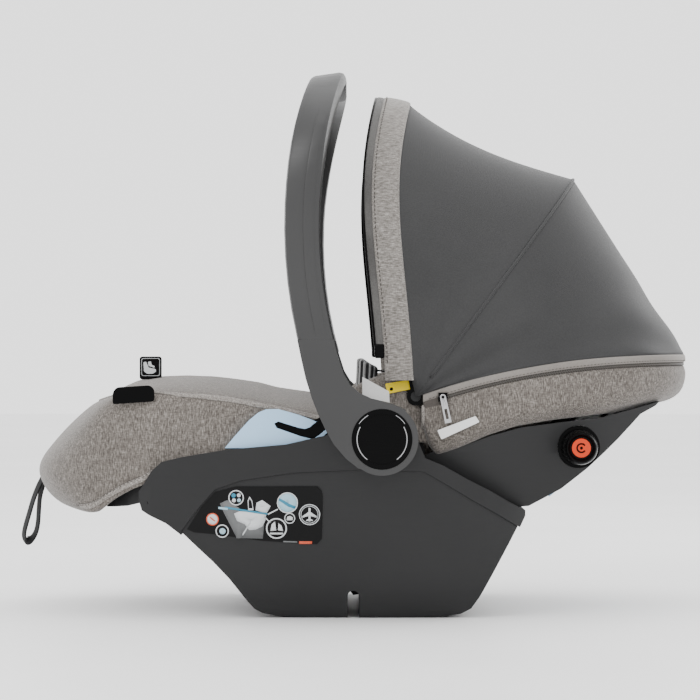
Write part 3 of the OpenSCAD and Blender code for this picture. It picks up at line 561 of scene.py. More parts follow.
# ---------------------------------------------------------------- carried-over CAD nodes
def tidy_normals():
    """A node group that welds, smooths soft edges and keeps hard ones, without touching the mesh itself."""
    g = bpy.data.node_groups.new("soft_edges", "GeometryNodeTree")
    g.interface.new_socket("Geometry", in_out="INPUT", socket_type="NodeSocketGeometry")
    g.interface.new_socket("Geometry", in_out="OUTPUT", socket_type="NodeSocketGeometry")
    gi, go = g.nodes.new("NodeGroupInput"), g.nodes.new("NodeGroupOutput")
    rm = g.nodes.new("GeometryNodeRemoveAttribute")
    rm.inputs["Name"].default_value = "custom_normal"
    weld = g.nodes.new("GeometryNodeMergeByDistance")
    weld.inputs["Distance"].default_value = 0.00002
    face = g.nodes.new("GeometryNodeSetShadeSmooth")
    face.domain = "FACE"
    edge = g.nodes.new("GeometryNodeSetShadeSmooth")
    edge.domain = "EDGE"
    ang = g.nodes.new("GeometryNodeInputMeshEdgeAngle")
    cmp_ = g.nodes.new("FunctionNodeCompare")
    cmp_.data_type = "FLOAT"
    cmp_.operation = "GREATER_THAN"
    cmp_.inputs["B"].default_value = math.radians(32)
    g.links.new(gi.outputs[0], rm.inputs[0])
    g.links.new(rm.outputs[0], weld.inputs[0])
    g.links.new(weld.outputs[0], face.inputs[0])
    g.links.new(face.outputs[0], edge.inputs[0])
    g.links.new(ang.outputs[0], cmp_.inputs[0])
    g.links.new(cmp_.outputs[0], edge.inputs["Selection"])
    edge.inputs["Shade Smooth"].default_value = False
    g.links.new(edge.outputs[0], go.inputs[0])
    return g


SOFT = tidy_normals()
cad_looks = {
    "shell": ["lower_shell", "leg_shell", "back_shell", "release_lever", "seat_deck", "canopy_pivots"],
    "collar": ["shell_collar", "hub_pivot_left", "hub_pivot_right"],
    "handle": ["handle_frame"],
    "grip": ["handle_grip"],
    "black": ["handle_button_left", "handle_button_right", "pod_left", "pod_right", "pod_sockets",
              "buckle_housing", "adjuster_housing",
              "latch_hooks", "canopy_mid_bow", "canopy_front_bow", "leg_hinge_pin", "recline_brackets",
              "zip_slider"],
    "blue": ["belt_guide_left", "belt_guide_right", "shoulder_belt_guide"],
    "steel": ["latch_shaft", "base_screws", "adjuster_button", "button_spring_left",
              "button_spring_right", "zip_pull"],
    "orange": ["pod_badge_left", "pod_badge_right"],
    "red": ["buckle_button"],
    "foam": ["front_foam", "back_foam"],
    "label": ["side_label_left", "side_label_right"],
}
# widths of the rounded edges in mm; a left and right pair goes by its shared name
BEVEL_MM = {
    0.4: ["zip_pull", "pod_badge"],
    0.7: ["pod"],
    0.8: ["handle_button", "buckle_button", "adjuster_button", "zip_slider"],
    1.0: ["lower_shell", "leg_shell", "buckle_housing", "handle_grip", "adjuster_housing", "shoulder_belt_guide"],
    1.1: ["shell_collar"],
    1.2: ["handle_frame", "back_shell", "release_lever"],
    1.3: ["belt_guide"],
}
bevels = {n: width for width, names in BEVEL_MM.items() for n in names}
for look, names in cad_looks.items():
    for n in names:
        ob = frame["nodes"][n]
        ob.data.materials.clear()
        ob.data.materials.append(M[look])
        m = ob.modifiers.new("soft", "NODES")
        m.node_group = SOFT
        width = bevels.get(n, bevels.get(n.removesuffix("_left").removesuffix("_right")))
        if width:
            b = ob.modifiers.new("edge", "BEVEL")
            b.width = width * 0.001
            b.segments = 2
            b.limit_method = "ANGLE"
            b.angle_limit = math.radians(34)
            b.harden_normals = False
            m2 = ob.modifiers.new("soft2", "NODES")
            m2.node_group = SOFT


# ---------------------------------------------------------------- leg cover, seat sides and apron
RIM = [(-266, 217), (-258, 219.5), (-249, 221.5), (-228, 224.5), (-206, 226), (-166, 225), (-128, 220.5),
       (-102, 215), (-84, 212), (-46, 203), (-30, 199)]
TOP = [(-270, 215), (-262, 221), (-247, 231), (-234, 237), (-210, 240.5), (-183, 241.5), (-159, 240.5),
       (-108, 234), (-90, 229.5), (-55, 224), (-30, 219)]


OUTER_HALF, RIM_HALF = 163, 155     # half widths of the cover's outline and of its rim seam
OUTER_TURN, RIM_TURN = 186, 176     # where each starts to close towards the foot end, as -x


def half_outer(x):
    """Half width of the cover's outer outline at x."""
    nose = OUTER_HALF * max(0.0, 1 - min(1.0, max(0.0, -x - OUTER_TURN) / 150.0) ** 2.7) ** (1 / 2.7)
    side = OUTER_HALF + 11.5 * smooth(x, -215, -110)
    return min(nose, side) if x < -OUTER_TURN else side


def half_rim(x):
    """Half width of the rim seam, which closes in front of the apron."""
    front = RIM_HALF * max(0.0, 1 - min(1.0, max(0.0, -x - RIM_TURN) / 90.0) ** 2.5) ** (1 / 2.5)
    side = RIM_HALF + 9 * smooth(x, -215, -110)
    return min(front, side) if x < -RIM_TURN else side


def plan(t, half, x_front, x_turn, x_back):
    """A point on a U-shaped outline: t runs from the left rear (0) round the foot end (0.5) to the right rear (1)."""
    s = abs(t - 0.5) * 2            # 0 at the foot end, 1 at the rear
    sign = -1 if t < 0.5 else 1
    k = 0.52                        # share of the parameter that the curved front takes
    if s < k:
        a = s / k * math.pi / 2
        x = x_turn - (x_turn - x_front) * math.cos(a) ** 0.80
        return x, sign * (half(x) if s > 1e-6 else 0.0)
    x = lerp(x_turn, x_back, (s - k) / (1 - k))
    return x, sign * half(x)


NOSE_PROFILE = [(0.00, 217.5), (0.10, 215.5), (0.20, 212.0), (0.34, 204.5), (0.48, 195.5), (0.62, 185.8),
                (0.74, 176.5), (0.85, 167.5),
                (0.94, 159.0), (1.00, 149.5), (1.00, 140.0), (0.94, 129.5), (0.85, 120.5), (0.71, 112.0),
                (0.55, 106.8), (0.40, 104.8), (0.24, 105.2), (0.10, 106.5)]
SIDE_PROFILE = [(0.00, 0.0), (0.20, 0.5), (0.42, -1.5), (0.62, -6.0), (0.78, -12.5), (0.90, -21.0),
                (0.97, -31.0), (1.00, -42.0),
                (1.00, -53.0), (0.99, -63.0), (0.98, -71.0), (0.965, -79.0), (0.955, -85.0), (0.945, -89.0),
                (0.935, -91.5), (0.91, -92.6), (0.86, -92.2), (0.78, -91.0)]
HEM = [(-336, 106.5), (-296, 105.8), (-280, 106), (-267, 110.5), (-251, 121), (-234, 129.5), (-219.4, 135),
       (-210, 142), (-203, 150), (-195, 152), (-34, 160)]


def cover_rings(steps=132):
    n = len(NOSE_PROFILE)
    fine_nose = catmull([(h, z, 0) for h, z in NOSE_PROFILE], 40)
    fine_side = catmull([(h, z, 0) for h, z in SIDE_PROFILE], 40)
    rings = [[] for _ in range(41)]
    for i in range(steps + 1):
        t = i / steps
        ox, oy = plan(t, half_outer, -336, -OUTER_TURN, -30)
        ix, iy = plan(t, half_rim, -266, -RIM_TURN, -30)
        w = smooth(-ox, 256, 331)
        zr = lookup(ix, RIM)
        zh = lookup(ox, HEM)
        side_drop = (zr - zh) / 92.0
        for k in range(41):
            h = lerp(fine_side[k][0], fine_nose[k][0], w)
            z_side = zr + fine_side[k][1] * side_drop
            z_nose = zh + (fine_nose[k][1] - 106.5) / 110.5 * (zr - zh)
            z = lerp(z_side, z_nose, w)
            # soft dents in the padding
            dent = 0.5 * math.sin(ox * 0.045 + z * 0.03) * math.sin(z * 0.06 + 1.0) * math.sin(math.pi * k / 40)
            x = lerp(ix, ox, h)
            y = lerp(iy, oy, h)
            out = np.array([ox - ix, oy - iy])
            out = out / (np.linalg.norm(out) + 1e-6)
            rings[k].append((x + out[0] * dent, y + out[1] * dent, z))
    return rings


rings = cover_rings()
cover = grid("foot_cover", rings, M["melange"])
outward(cover)
cover = thicken(cover, 2.4, offset=-1.0, sub=1)


def edging(name, mat, keep, at, width, lift):
    """A flat band sewn on the cover.

    It starts at(column), runs width mm down the surface and stands lift mm out of it.
    """
    rows = []
    for i in range(len(rings[0])):
        col = np.array([rings[k][i] for k in range(41)])
        if not keep(col):
            continue
        d = arc_lengths(col)
        s0 = at(col, d)
        j0, j1 = max(i - 1, 0), min(i + 1, len(rings[0]) - 1)
        row = []
        for ds, h in ((0, -0.8), (0.1, 0.5), (0.9, 1.0), (width * 0.5, 1.1), (width - 0.9, 1.0),
                      (width - 0.1, 0.5), (width, -0.8)):
            s = s0 + ds
            p = at_length(s, d, col)
            q = at_length(s + 1.5, d, col)
            o = at_length(s - 1.5, d, col)
            along = np.array(rings[20][j1]) - np.array(rings[20][j0])
            n = np.cross(q - o, along)
            n /= np.linalg.norm(n)
            if n[:2].dot(p[:2] - np.array([-150.0, 0.0])) < 0:
                n = -n
            row.append(tuple(p + n * h * lift))
        rows.append(row)
    ob = grid(name, rows, mat)
    outward(ob)
    return ob, rows


def lower_edge(col, d):
    k = int(np.argmin(col[:37, 2]))
    return d[k] - 6.2


hem, hem_rows = edging("cover_binding", M["melange_hem"], lambda c: -298 < c[20][0] < -208, lower_edge, 6.0,
                       1.1)
hem = thicken(hem, 0, sub=1)
seam_roll, rim_rows = edging("rim_band", M["melange_hem"], lambda c: True, lambda c, d: 0.8, 8.5, 1.0)
seam_roll = thicken(seam_roll, 0, sub=1)
row_out = join("rim_stitches", [stitches("s", [r[k] for r in rim_rows], M["thread_light"], length=2.8, gap=1.6,
                                         r=0.40) for k in (2, 4)])
# dark tubes along the bands' edges: painted shade in the creases of the seams
crease_shades = [tube("rim_groove", [r[-1] for r in rim_rows], 0.95, M["thread"], sides=6),
           tube("hem_groove", [r[0] for r in hem_rows], 1.0, M["thread"], sides=6)]
hem_st = stitches("hem_stitches", [r[2] for r in hem_rows], M["thread"], length=2.6, gap=1.5, r=0.36)


def apron_sheet():
    xs = np.linspace(-265.5, -36, 64)
    rows = []
    for x in xs:
        hw = half_rim(x) - 2.4
        hw = max(hw, 0.5)
        zr = lookup(x, RIM) - 3.2
        zt = lookup(x, TOP)
        row = []
        for j in range(41):
            s = j / 20 - 1
            bulge = max(0.0, 1 - abs(s) ** 2.3) ** 0.72
            z = zr + (zt - zr) * bulge
            wr = 0.5 * math.sin(x * 0.06 + 2.2 * s) * math.sin(3.1 * s + x * 0.017) * bulge
            row.append((x, s * hw, z + wr))
        rows.append(row)
    return rows


rows = apron_sheet()
apron = grid("apron", rows, M["melange"])
outward(apron)
apron = thicken(apron, 7.0, offset=-1.0, sub=1)
edge = [(rows[-1][j][0] + 0.5, rows[-1][j][1], rows[-1][j][2] - 3.2) for j in range(41)]
apron_edge = tube("apron_edge", edge, 4.3, M["melange_hem"], sides=12)
apron_st = stitches("apron_stitches", [(rows[-4][j][0], rows[-4][j][1] * 0.985, rows[-4][j][2] + 0.25)
                                       for j in range(2, 39)], M["thread_light"], r=0.38)

for ob in (cover, seam_roll, row_out, apron, hem, hem_st, *crease_shades):
    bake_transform(ob)
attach(apron_edge, "base")
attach(apron_st, "base")
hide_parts("leg_cover", "side_cover")
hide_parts("apron_front", "apron_rear")


# ---------------------------------------------------------------- seat sides and hip wings
WALL_TOP = [(-200, 222), (-166, 221), (-128, 217), (-102, 211.5), (-84, 208), (-46, 200), (-34, 200),
            (-24, 206), (-13, 226), (-6, 234),
            (10, 241), (28, 245), (38, 246), (48, 238), (56, 224), (62, 212)]


def side_wall(side):
    """Padded fabric from the deck over the rim. Behind the apron it rises into the hip wing."""
    xs = np.concatenate([np.linspace(-200, -40, 26), np.linspace(-34, 62, 34)])
    rows = []
    for x in xs:
        zt = lookup(x, WALL_TOP)
        g = smooth(x, -40, -14)                   # 0 beside the apron, 1 on the wing
        n = 13 * smooth(x, -130, -205) if x < -130 else 0.0
        ht = lerp(half_rim(x) - 5, 158, g)
        pts = [(lerp(ht + 4, 168, g), lerp(zt - 16, 176, g)),
               (lerp(ht + 4, 169, g), lerp(zt - 9, (zt + 190) / 2, g)),
               (lerp(ht + 3, 166, g), lerp(zt - 4, zt - 11, g)),
               (lerp(ht + 1, 161, g), zt - 1.2 - 1.5 * g), (ht - 3, zt), (lerp(ht - 7, 147, g), zt - 2),
               (lerp(ht - 10, 143, g), zt - 9), (ht - 13 - 4 * g, zt - 22),
               (lerp(ht - 17, 136, g), lerp(zt, 122, 0.55)), (130 - n, lerp(zt, 122, 0.8)), (122 - n, 124),
               (112 - n, 117)]
        fine = catmull([(0, y, z) for y, z in pts], 34)
        row = []
        for k, p in enumerate(fine):
            w = 1.1 * math.sin(x * 0.05 + k * 0.3) * math.sin(k * 0.19 + 1)
            row.append((x, side * (p[1] + w * (1 if k > 12 else 0.3)), p[2]))
        rows.append(row)
    # the rear end turns in
    last = rows[-1]
    rows.append([(p[0] + 2.5, side * (abs(p[1]) - 1.5), p[2] - 2) for p in last])
    rows.append([(p[0] + 2.0, side * (abs(p[1]) - 6), p[2] - 8) for p in last])
    ob = grid(left_right("side_wall", side), rows, M["melange"])
    outward(ob)
    ob = thicken(ob, 1.6, offset=-1.0, sub=1)
    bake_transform(ob)
    # a stitched line under the wing's crest
    crest = [(x, side * (168.9 if x > -8 else 168.3), lookup(x, WALL_TOP) - 16)
             for x in np.linspace(-6, 52, 30)]
    st = stitches("wing_stitches", crest, M["thread_light"], r=0.36)
    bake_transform(st)
    return ob


for side in (-1, 1):
    side_wall(side)


# ---------------------------------------------------------------- pads and harness
def seat_surface(x, y):
    """Height of the seat pad's top: raised sides, two thigh hollows, six grooves across it and a groove along each
    side.
    """
    e = abs(y) / 118.0
    z = 121.5 + 9 * smooth(e, 0.62, 0.98) - 3.5 * math.exp(-((abs(y) - 46) / 30.0) ** 2)
    for xs in (-150, -118, -86, -54, -22, 10):
        z -= 2.4 * math.exp(-((x - xs - 5 * math.cos(y * 0.02)) / 2.6) ** 2) * (1 - smooth(e, 0.5, 0.66))
    z -= 2.6 * math.exp(-((abs(y) - 70) / 2.4) ** 2) * smooth(-x, -60, 175)
    return z


def seat_pad():
    xs = np.linspace(-186, 48, 118)
    rows = []
    for x in xs:
        hw = 118 - 14 * smooth(-x, 120, 190)
        end = min(smooth(x, -187, -170), 1 - smooth(x, 40, 50) * 0.5)
        row = [(x, -hw, 102.0)]
        for y in np.linspace(-hw, hw, 110):
            side_round = min(1.0, (hw - abs(y)) / 10.0) ** 0.4 if abs(y) < hw else 0.0
            z = 102 + (seat_surface(x, y) - 102) * side_round * (0.25 + 0.75 * end)
            row.append((x, y, z))
        row.append((x, hw, 102.0))
        rows.append(row)
    ob = grid("seat_cushion", rows, M["lining"])
    outward(ob)
    ob = thicken(ob, 1.5, offset=-1.0)
    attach(ob, "base")
    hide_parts("seat_pad")
    return ob


seat_pad()
COS, SIN = math.cos(RECLINE), math.sin(RECLINE)


def on_back(u, y, v):
    return (150 + u * COS - v * SIN, y, 126 + u * SIN + v * COS)


def back_pad():
    """Back padding in one sheet: it starts on the seat pad, bends up the back and ends under the head end's rim."""
    line = catmull([(46, 0, 127), (72, 0, 128), (98, 0, 135), (124, 0, 152), (160, 0, 181), (205, 0, 218),
                    (250, 0, 255), (268, 0, 266)], 110)
    rows = []
    for i, p in enumerate(line):
        a, b = line[max(i - 1, 0)], line[min(i + 1, len(line) - 1)]
        t = (b - a) / np.linalg.norm(b - a)
        n = np.array([-t[2], 0, t[0]])
        s = i / (len(line) - 1)
        hw = 106 - 6 * smooth(s, 0.8, 1.0)
        row = []
        for k in range(97):
            w = k / 48 - 1
            e = abs(w)
            lift = 7 * smooth(e, 0.55, 0.9) - 26 * max(0.0, (e - 0.9) / 0.1) ** 2
            for c in (0.22, 0.36, 0.50, 0.64, 0.78):
                lift -= 2.6 * math.exp(-(((s - c) * 260 - 6 * math.cos(w * 3)) / 3.0) ** 2) * (1 - smooth(e,
                        0.5, 0.62))
            lift -= 3.0 * math.exp(-((e * hw - 62) / 2.8) ** 2)
            if s < 0.05:
                lift -= 16 * (1 - s / 0.05) ** 2
            if s > 0.95:
                lift -= 14 * ((s - 0.95) / 0.05) ** 2
            row.append(tuple(p + n * lift + np.array([0, w * hw, 0])))
        rows.append(row)
    ob = grid("back_cushion", rows, M["lining"])
    outward(ob)
    ob = thicken(ob, 1.5, offset=-1.0)
    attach(ob, "backrest")
    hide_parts("back_pad")


back_pad()


def headrest():
    """U-shaped head support: a padded middle and two wings that stand out of the back."""
    half_line = [(86, 84), (83, 64), (76, 50), (60, 44.5), (30, 43)]
    mid = catmull([(0, -y, z) for y, z in half_line] + [(0, 0, 42.5)] + [(0, y, z) for y, z in half_line[::-1]],
                  70)
    body = []
    for k, p in enumerate(mid):
        a, b = mid[max(k - 1, 0)], mid[min(k + 1, len(mid) - 1)]
        tan = (b - a) / np.linalg.norm(b - a)
        nrm = np.array([0, -tan[2], tan[1]])
        wing = smooth(abs(p[1]), 66, 84) * smooth(p[2], 48, 84)
        length = 92 - 20 * wing
        half = length / 2
        cu = 118 - 4 * wing
        tip = 1 - smooth(k if k < 35 else 70 - k, 7, 0) * 0.55
        th = (8.6 + 1.6 * wing) * tip
        ring = []
        for q in range(44):
            ang = 2 * math.pi * q / 44
            ca, sa = math.cos(ang), math.sin(ang)
            du = half * signed_pow(ca, 0.45) * (0.93 + 0.07 * tip)
            dn = th * signed_pow(sa, 0.75)
            puff = 1 + 0.05 * math.cos(ang * 2)
            pt = p + nrm * dn * puff
            if sa > 0:
                pt = pt - nrm * 1.8 * math.exp(-((abs(du) - half * 0.78) / 2.6) ** 2)
            ring.append(on_back(cu + du, pt[1], pt[2]))
        body.append(ring)
    ob = grid("head_support", body, M["melange"], close=True)
    fill_holes(ob)
    outward(ob)
    ob = thicken(ob, 0, sub=1)
    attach(ob, "head_support")
    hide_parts("headrest")


headrest()


def strap(name, path, half_w, mat, body=None, blend=None, thick=0.8, up=None):
    pts = catmull(path, 60)
    ob = tube(name, pts, 0, mat, sides=20, flat=(half_w, thick, up or (0, 0, 1)))
    outward(ob)
    if blend:
        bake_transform(ob)
    else:
        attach(ob, body)
    return ob


for side in (-1, 1):
    y = 42 * side
    ob = strap(left_right("shoulder_strap", side),
               [(6, y, 247), (20, y, 246), (46, y, 241), (72, y, 229), (110, y, 212), (135, y, 203.5),
                (149, y, 199), (156, y, 190)],
               18.5, M["webbing"], blend=((16, 0, 240), (60, 0, 240)), up=(0.3, 0, 1))
    if side < 0:
        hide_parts("shoulder_straps")
    strap(left_right("waist_strap", side),
          [(3, 14 * side, 190), (3, 27 * side, 184), (6, 60 * side, 160), (14, 92 * side, 141),
           (22, 116 * side, 126)],
          12.5, M["webbing"], body="base", up=(-1, 0, 0.35))
    strap(left_right("chest_strap", side),
          [(2.5, y, 212), (2.6, y * 0.86, 204), (2.4, y * 0.42, 197), (1.5, y * 0.25, 191)], 11, M["webbing"],
          body="base", up=(-1, 0, 0.1))
    tongue = solid_box(left_right("buckle_tongue", side), (-1.0, min(4 * side, 19 * side), 188),
                       (2.6, max(4 * side, 19 * side), 203), M["steel"], bevel=1.2)
    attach(tongue, "base")
ob = strap("crotch_webbing", [(-22, 0, 121), (-12, 0, 123.5), (-3, 0, 129), (0, 0, 141), (-1, 0, 162)], 19,
           M["webbing"], body="base", up=(-0.6, 0, 1))
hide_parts("crotch_strap")


def chest_pad(side):
    """Padded sleeve on the shoulder strap: grey cloth with dark ribs that run up it, and a slanting top."""
    n = 132
    ring = []
    for q in range(n):
        a = 2 * math.pi * q / n
        ca, sa = math.cos(a), math.sin(a)
        ring.append((10.6 * signed_pow(ca, 0.62), 22.4 * signed_pow(sa, 0.5)))
    d = arc_lengths(np.array(ring + ring[:1]))
    count = round(d[-1] / 5.4)
    rows = []
    for k in range(41):
        t = k / 40
        pinch = 1 - 0.34 * (1 - min(1.0, t / 0.10)) ** 2 - 0.16 * (1 - min(1.0, (1 - t) / 0.05)) ** 2
        row = []
        for q, (dx, dy) in enumerate(ring):
            rib = 0.55 * math.sin(2 * math.pi * count * d[q] / d[-1])
            r = math.hypot(dx, dy)
            dx, dy = dx * (1 + rib / r) * pinch, dy * (1 + rib / r) * pinch
            cx = lerp(2.5, 5.0, t)
            top = 255.2 - 0.43 * dx
            row.append((cx + dx, side * 42 + dy, lerp(205, top, t) + 1.5 * math.sin(math.pi * t) * 0.2))
        rows.append(row)
    top = [(5.0 + (p[0] - 5.0) * 0.5, side * 42 + (p[1] - side * 42) * 0.5, p[2] + 0.9) for p in rows[-1]]
    rows.append(top)
    ob = grid(left_right("chest_pad", side), rows, M["pad_grey"], close=True)
    fill_holes(ob)
    outward(ob)
    ob.data.materials.append(M["pad_dark"])
    for f in ob.data.polygons:
        if f.index < 40 * n and math.sin(2 * math.pi * count * (d[f.index % n] + 0.4) / d[-1]) < 0.1:
            f.material_index = 1
    ob = thicken(ob, 0, sub=1)
    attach(ob, "base")
    if side < 0:
        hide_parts("chest_pads")


for side in (-1, 1):
    chest_pad(side)


# ---------------------------------------------------------------- head end: cover, zip and lining
def zip_z(x):
    return PZ - 1 + 42 * (1 - max(0.0, 1 - (x - PX) / REAR_R) ** 2.4)


def head_xy(a, s):
    n = 2 / 2.8
    c = max(0.0, math.cos(a)) ** n
    q = math.copysign(abs(math.sin(a)) ** n, math.sin(a))
    return PX + 7 + (REAR_R - 7 - s) * c, (CANOPY_HALF - s) * q


def head_angles(n):
    """Angles that space n + 1 points evenly round the head end."""
    a = -np.pi / 2 + np.pi * (0.5 - 0.5 * np.cos(np.linspace(0, np.pi, 4001)))
    p = np.array([head_xy(v, 0) for v in a])
    d = arc_lengths(p)
    return np.interp(np.linspace(0, d[-1], n + 1), d, a)


HEAD = head_angles(170)
COVER_HEM = [(56, 205), (62, 180), (73, 166), (97, 173.5), (127, 186), (157, 195), (196, 201), (240, 205.5),
             (290, 208.5), (340, 210)]


def roll(x):
    return 34 * max(0.0, (x - 230) / 106) ** 1.4


def head_ring(inset, z):
    ring = []
    for a in HEAD:
        x0, y0 = head_xy(a, 0)
        x, y = head_xy(a, inset(x0))
        ring.append((x, y, z(x0)))
    return ring


def cover_z(t):
    return lambda x: lerp(lookup(x, COVER_HEM), zip_z(x) - 11.2, t)


def back_cover():
    keys = [(0.0, 26, 1.15, -1.5), (0.0, 14, 1.08, -2.6), (0.02, 9.0, 1.0, -1.6), (0.07, 5.6, 0.78, 0),
            (0.16, 2.8, 0.45, 0), (0.30, 0.9, 0.22, 0), (0.45, 0.1, 0.1, 0), (0.62, -0.4, 0.04, 0),
            (0.80, 0.0, 0.0, 0), (0.92, 0.8, 0.0, 0), (1.0, 2.2, 0.0, 0), (1.0, 5.0, 0.0, -1.5)]
    rings = []
    for t, ins, r, dz in keys:
        rings.append(head_ring(lambda x, ins=ins, r=r: ins + roll(x) * r, lambda x, t=t,
                               dz=dz: cover_z(t)(x) + dz))
    cols = []
    for i in range(len(HEAD)):
        col = catmull([rings[k][i] for k in range(len(rings))], 44)
        cols.append(col)
    # soft dents of cloth over foam
    for i, col in enumerate(cols):
        for k, p in enumerate(col):
            f = math.sin(math.pi * k / 44)
            d = 0.9 * math.sin(i * 0.13 + 0.5 * math.sin(k * 0.12)) * math.sin(k * 0.16 + i * 0.02) * f
            x0, y0 = p[0] - PX - 100, p[1]
            r = math.hypot(x0, y0)
            p[0] += d * x0 / r
            p[1] += d * y0 / r
    ob = grid("head_cover", [[tuple(p) for p in col] for col in cols], M["melange"])
    outward(ob)
    ob = thicken(ob, 1.8, offset=-1.0, sub=1)
    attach(ob, "backrest")
    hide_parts("back_cover")
    return cols


cols = back_cover()
# a piped front edge on each side
for col in (cols[0], cols[-1]):
    edge = [tuple(p) for p in col[6:44]]
    ob = tube("cover_front_edge", edge, 1.5, M["melange_hem"], sides=8)
    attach(ob, "backrest")


def zip_parts():
    tape = grid("zip_tape_sheet", [head_ring(lambda x: 3.4, lambda x: zip_z(x) - 15),
                                   head_ring(lambda x: 3.2, lambda x: zip_z(x) - 10),
                                   head_ring(lambda x: 3.0, lambda x: zip_z(x) - 5)], M["zip_tape"])
    outward(tape)
    tape = thicken(tape, 0.9, offset=0)
    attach(tape, "backrest")
    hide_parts("zip_tape")
    # closed coil: two rows of small teeth
    path = np.array(head_ring(lambda x: 2.4, lambda x: zip_z(x) - 9.2))
    d = arc_lengths(path)
    verts, faces = [], []
    s = 24.0
    k = 0
    while s < d[-1] - 3:
        c = at_length(s, d, path)
        c2 = at_length(s + 0.5, d, path)
        t = (c2 - c) / np.linalg.norm(c2 - c)
        up = np.array([0, 0, 1.0])
        out = np.cross(t, up)
        c = c + up * (0.55 if k % 2 else -0.55)
        b = len(verts)
        for du in (-0.55, 0.55):
            for dv, do in ((-1.35, -0.3), (-0.8, 0.75), (0.8, 0.75), (1.35, -0.3)):
                verts.append(c + t * du + up * dv + out * do)
        faces += [(b, b + 1, b + 5, b + 4), (b + 1, b + 2, b + 6, b + 5), (b + 2, b + 3, b + 7, b + 6),
                  (b, b + 3, b + 2, b + 1), (b + 4, b + 5, b + 6, b + 7)]
        s += 1.25
        k += 1
    teeth = new_object("zip_coil", verts, faces, M["zip_coil"], flat=True)
    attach(teeth, "backrest")
    # binding tape above the zip, folded over the canopy's edge
    prof = [(2.6, -7.6), (0.9, -7.3), (0.2, -6.2), (0.0, -3.6), (0.3, -0.8), (1.2, 0.5), (2.8, 0.6), (4.2, 0.0),
            (4.6, -3.5), (4.0, -7.0)]
    ringset = [head_ring(lambda x, i=i: i, lambda x, z=z: zip_z(x) + z) for i, z in prof]
    rows = [[ringset[k][i] for k in range(len(prof))] for i in range(len(HEAD))]
    bind = grid("zip_binding", rows, M["binding"], close=True)
    outward(bind)
    bind = thicken(bind, 0, sub=1)
    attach(bind, "backrest")
    st = stitches("binding_stitches", head_ring(lambda x: 0.1, lambda x: zip_z(x) - 5.6)[1:-1], M["thread"],
                  length=2.4, gap=1.3, r=0.34)
    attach(st, "backrest")
    # a fabric tab at the far end of the zip, where the coil stops, under the slider
    tab = solid_box("zip_garage", (PX + 7.5, -177.2, PZ - 12.5), (PX + 26, -174.0, PZ - 1.5), M["zip_tape"],
                    bevel=1.2)
    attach(tab, "backrest")


zip_parts()


def lining_bowl():
    """The head end's inside: from the zip's rim down to the edge of the back padding."""
    rows = []
    n = 26
    pad_line = [(50, 120), (92, 124), (127, 147), (253, 250), (275, 262)]
    for a in HEAD:
        x0, y0 = head_xy(a, 0)
        xr, yr = head_xy(a, 4.5)
        c = (x0 - PX - 7) / (REAR_R - 7)
        xb = lerp(58, 264, c)
        q = y0 / CANOPY_HALF
        yb = 103 * q
        zb = lookup(xb, pad_line)
        zr = zip_z(x0) - 1.0
        p = catmull([(xr, yr, zr), (lerp(xr, xb, 0.10), lerp(yr, yb, 0.10), zr - 6),
                     (lerp(xr, xb, 0.22), lerp(yr, yb, 0.22), lerp(zr, zb, 0.28)),
                     (lerp(xr, xb, 0.48), lerp(yr, yb, 0.48), lerp(zr, zb, 0.66)),
                     (lerp(xr, xb, 0.8), lerp(yr, yb, 0.8), lerp(zr, zb, 0.93)), (xb, yb, zb)], n)
        rows.append([tuple(v) for v in p])
    for i, row in enumerate(rows):
        for k in range(len(row)):
            f = math.sin(math.pi * k / n)
            x, y, z = row[k]
            row[k] = (x, y * (1 + 0.006 * f * math.sin(i * 0.22)), z + 1.0 * f * math.sin(i * 0.17 + k * 0.2))
    ob = grid("lining_bowl", rows, M["melange"])
    outward(ob)
    ob = thicken(ob, 1.4, offset=0, sub=1)
    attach(ob, "backrest")
    roll_ob = tube("lining_piping", [(r[-4][0], r[-4][1], r[-4][2] + 2.2) for r in rows], 2.2, M["binding"],
                   sides=8)
    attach(roll_ob, "backrest")


lining_bowl()


# ---------------------------------------------------------------- canopy
def arch_r(u, r):
    return r * max(0.0, math.sin(math.pi * u)) ** (2 / 2.6)


def arch_y(u, half):
    c = math.cos(math.pi * u)
    return -half * signed_pow(c, 2 / 2.6)


def mid_point(u, o):
    r = arch_r(u, MID_R + o)
    return np.array([PX + r * math.cos(MID_A), arch_y(u, CANOPY_HALF + o), PZ + r * math.sin(MID_A)])


def belly(h):
    return -16 - 14 * math.sin(math.pi * min(1.0, h) ** 1.6)


def front_point(u, o, e):
    r = arch_r(u, FRONT_R + o)
    h = r / FRONT_R
    return np.array([PX + belly(h) + (e - 0.5) * BAND_W, arch_y(u, CANOPY_HALF + o),
                     PZ + max(r, 16 + 0.02 * r) - 5 * e * h ** 6])


def even_u(n, fn):
    """Values of u that space n + 1 points evenly along an arch."""
    u = 0.5 - 0.5 * np.cos(np.linspace(0, np.pi, 3001))
    p = np.array([fn(v) for v in u])
    d = arc_lengths(p)
    return np.interp(np.linspace(0, d[-1], n + 1), d, u)


U_FRONT = even_u(150, lambda u: front_point(u, 0, 0.5))


def rear_point(u, o):
    a = math.radians(-90 + 180 * u)
    x, y = head_xy(a, 2 - o)
    return np.array([x, y, zip_z(x) + 0.5])


def outward_dir(p):
    c = np.array([PX + 60, 0, PZ])
    return (p - c) / np.linalg.norm(p - c)


def pivot_folds(p, height):
    """Creases that fan out from the canopy's pivot and fade with distance."""
    r = math.hypot(p[0] - PX, p[2] - PZ)
    a = math.atan2(p[2] - PZ, p[0] - PX)
    return height * (0.55 * math.sin(a * 19 + 0.02 * r) + 0.6
                     * math.sin(a * 8.3 + 0.9)) * math.exp(-((r - 90) / 66) ** 2)


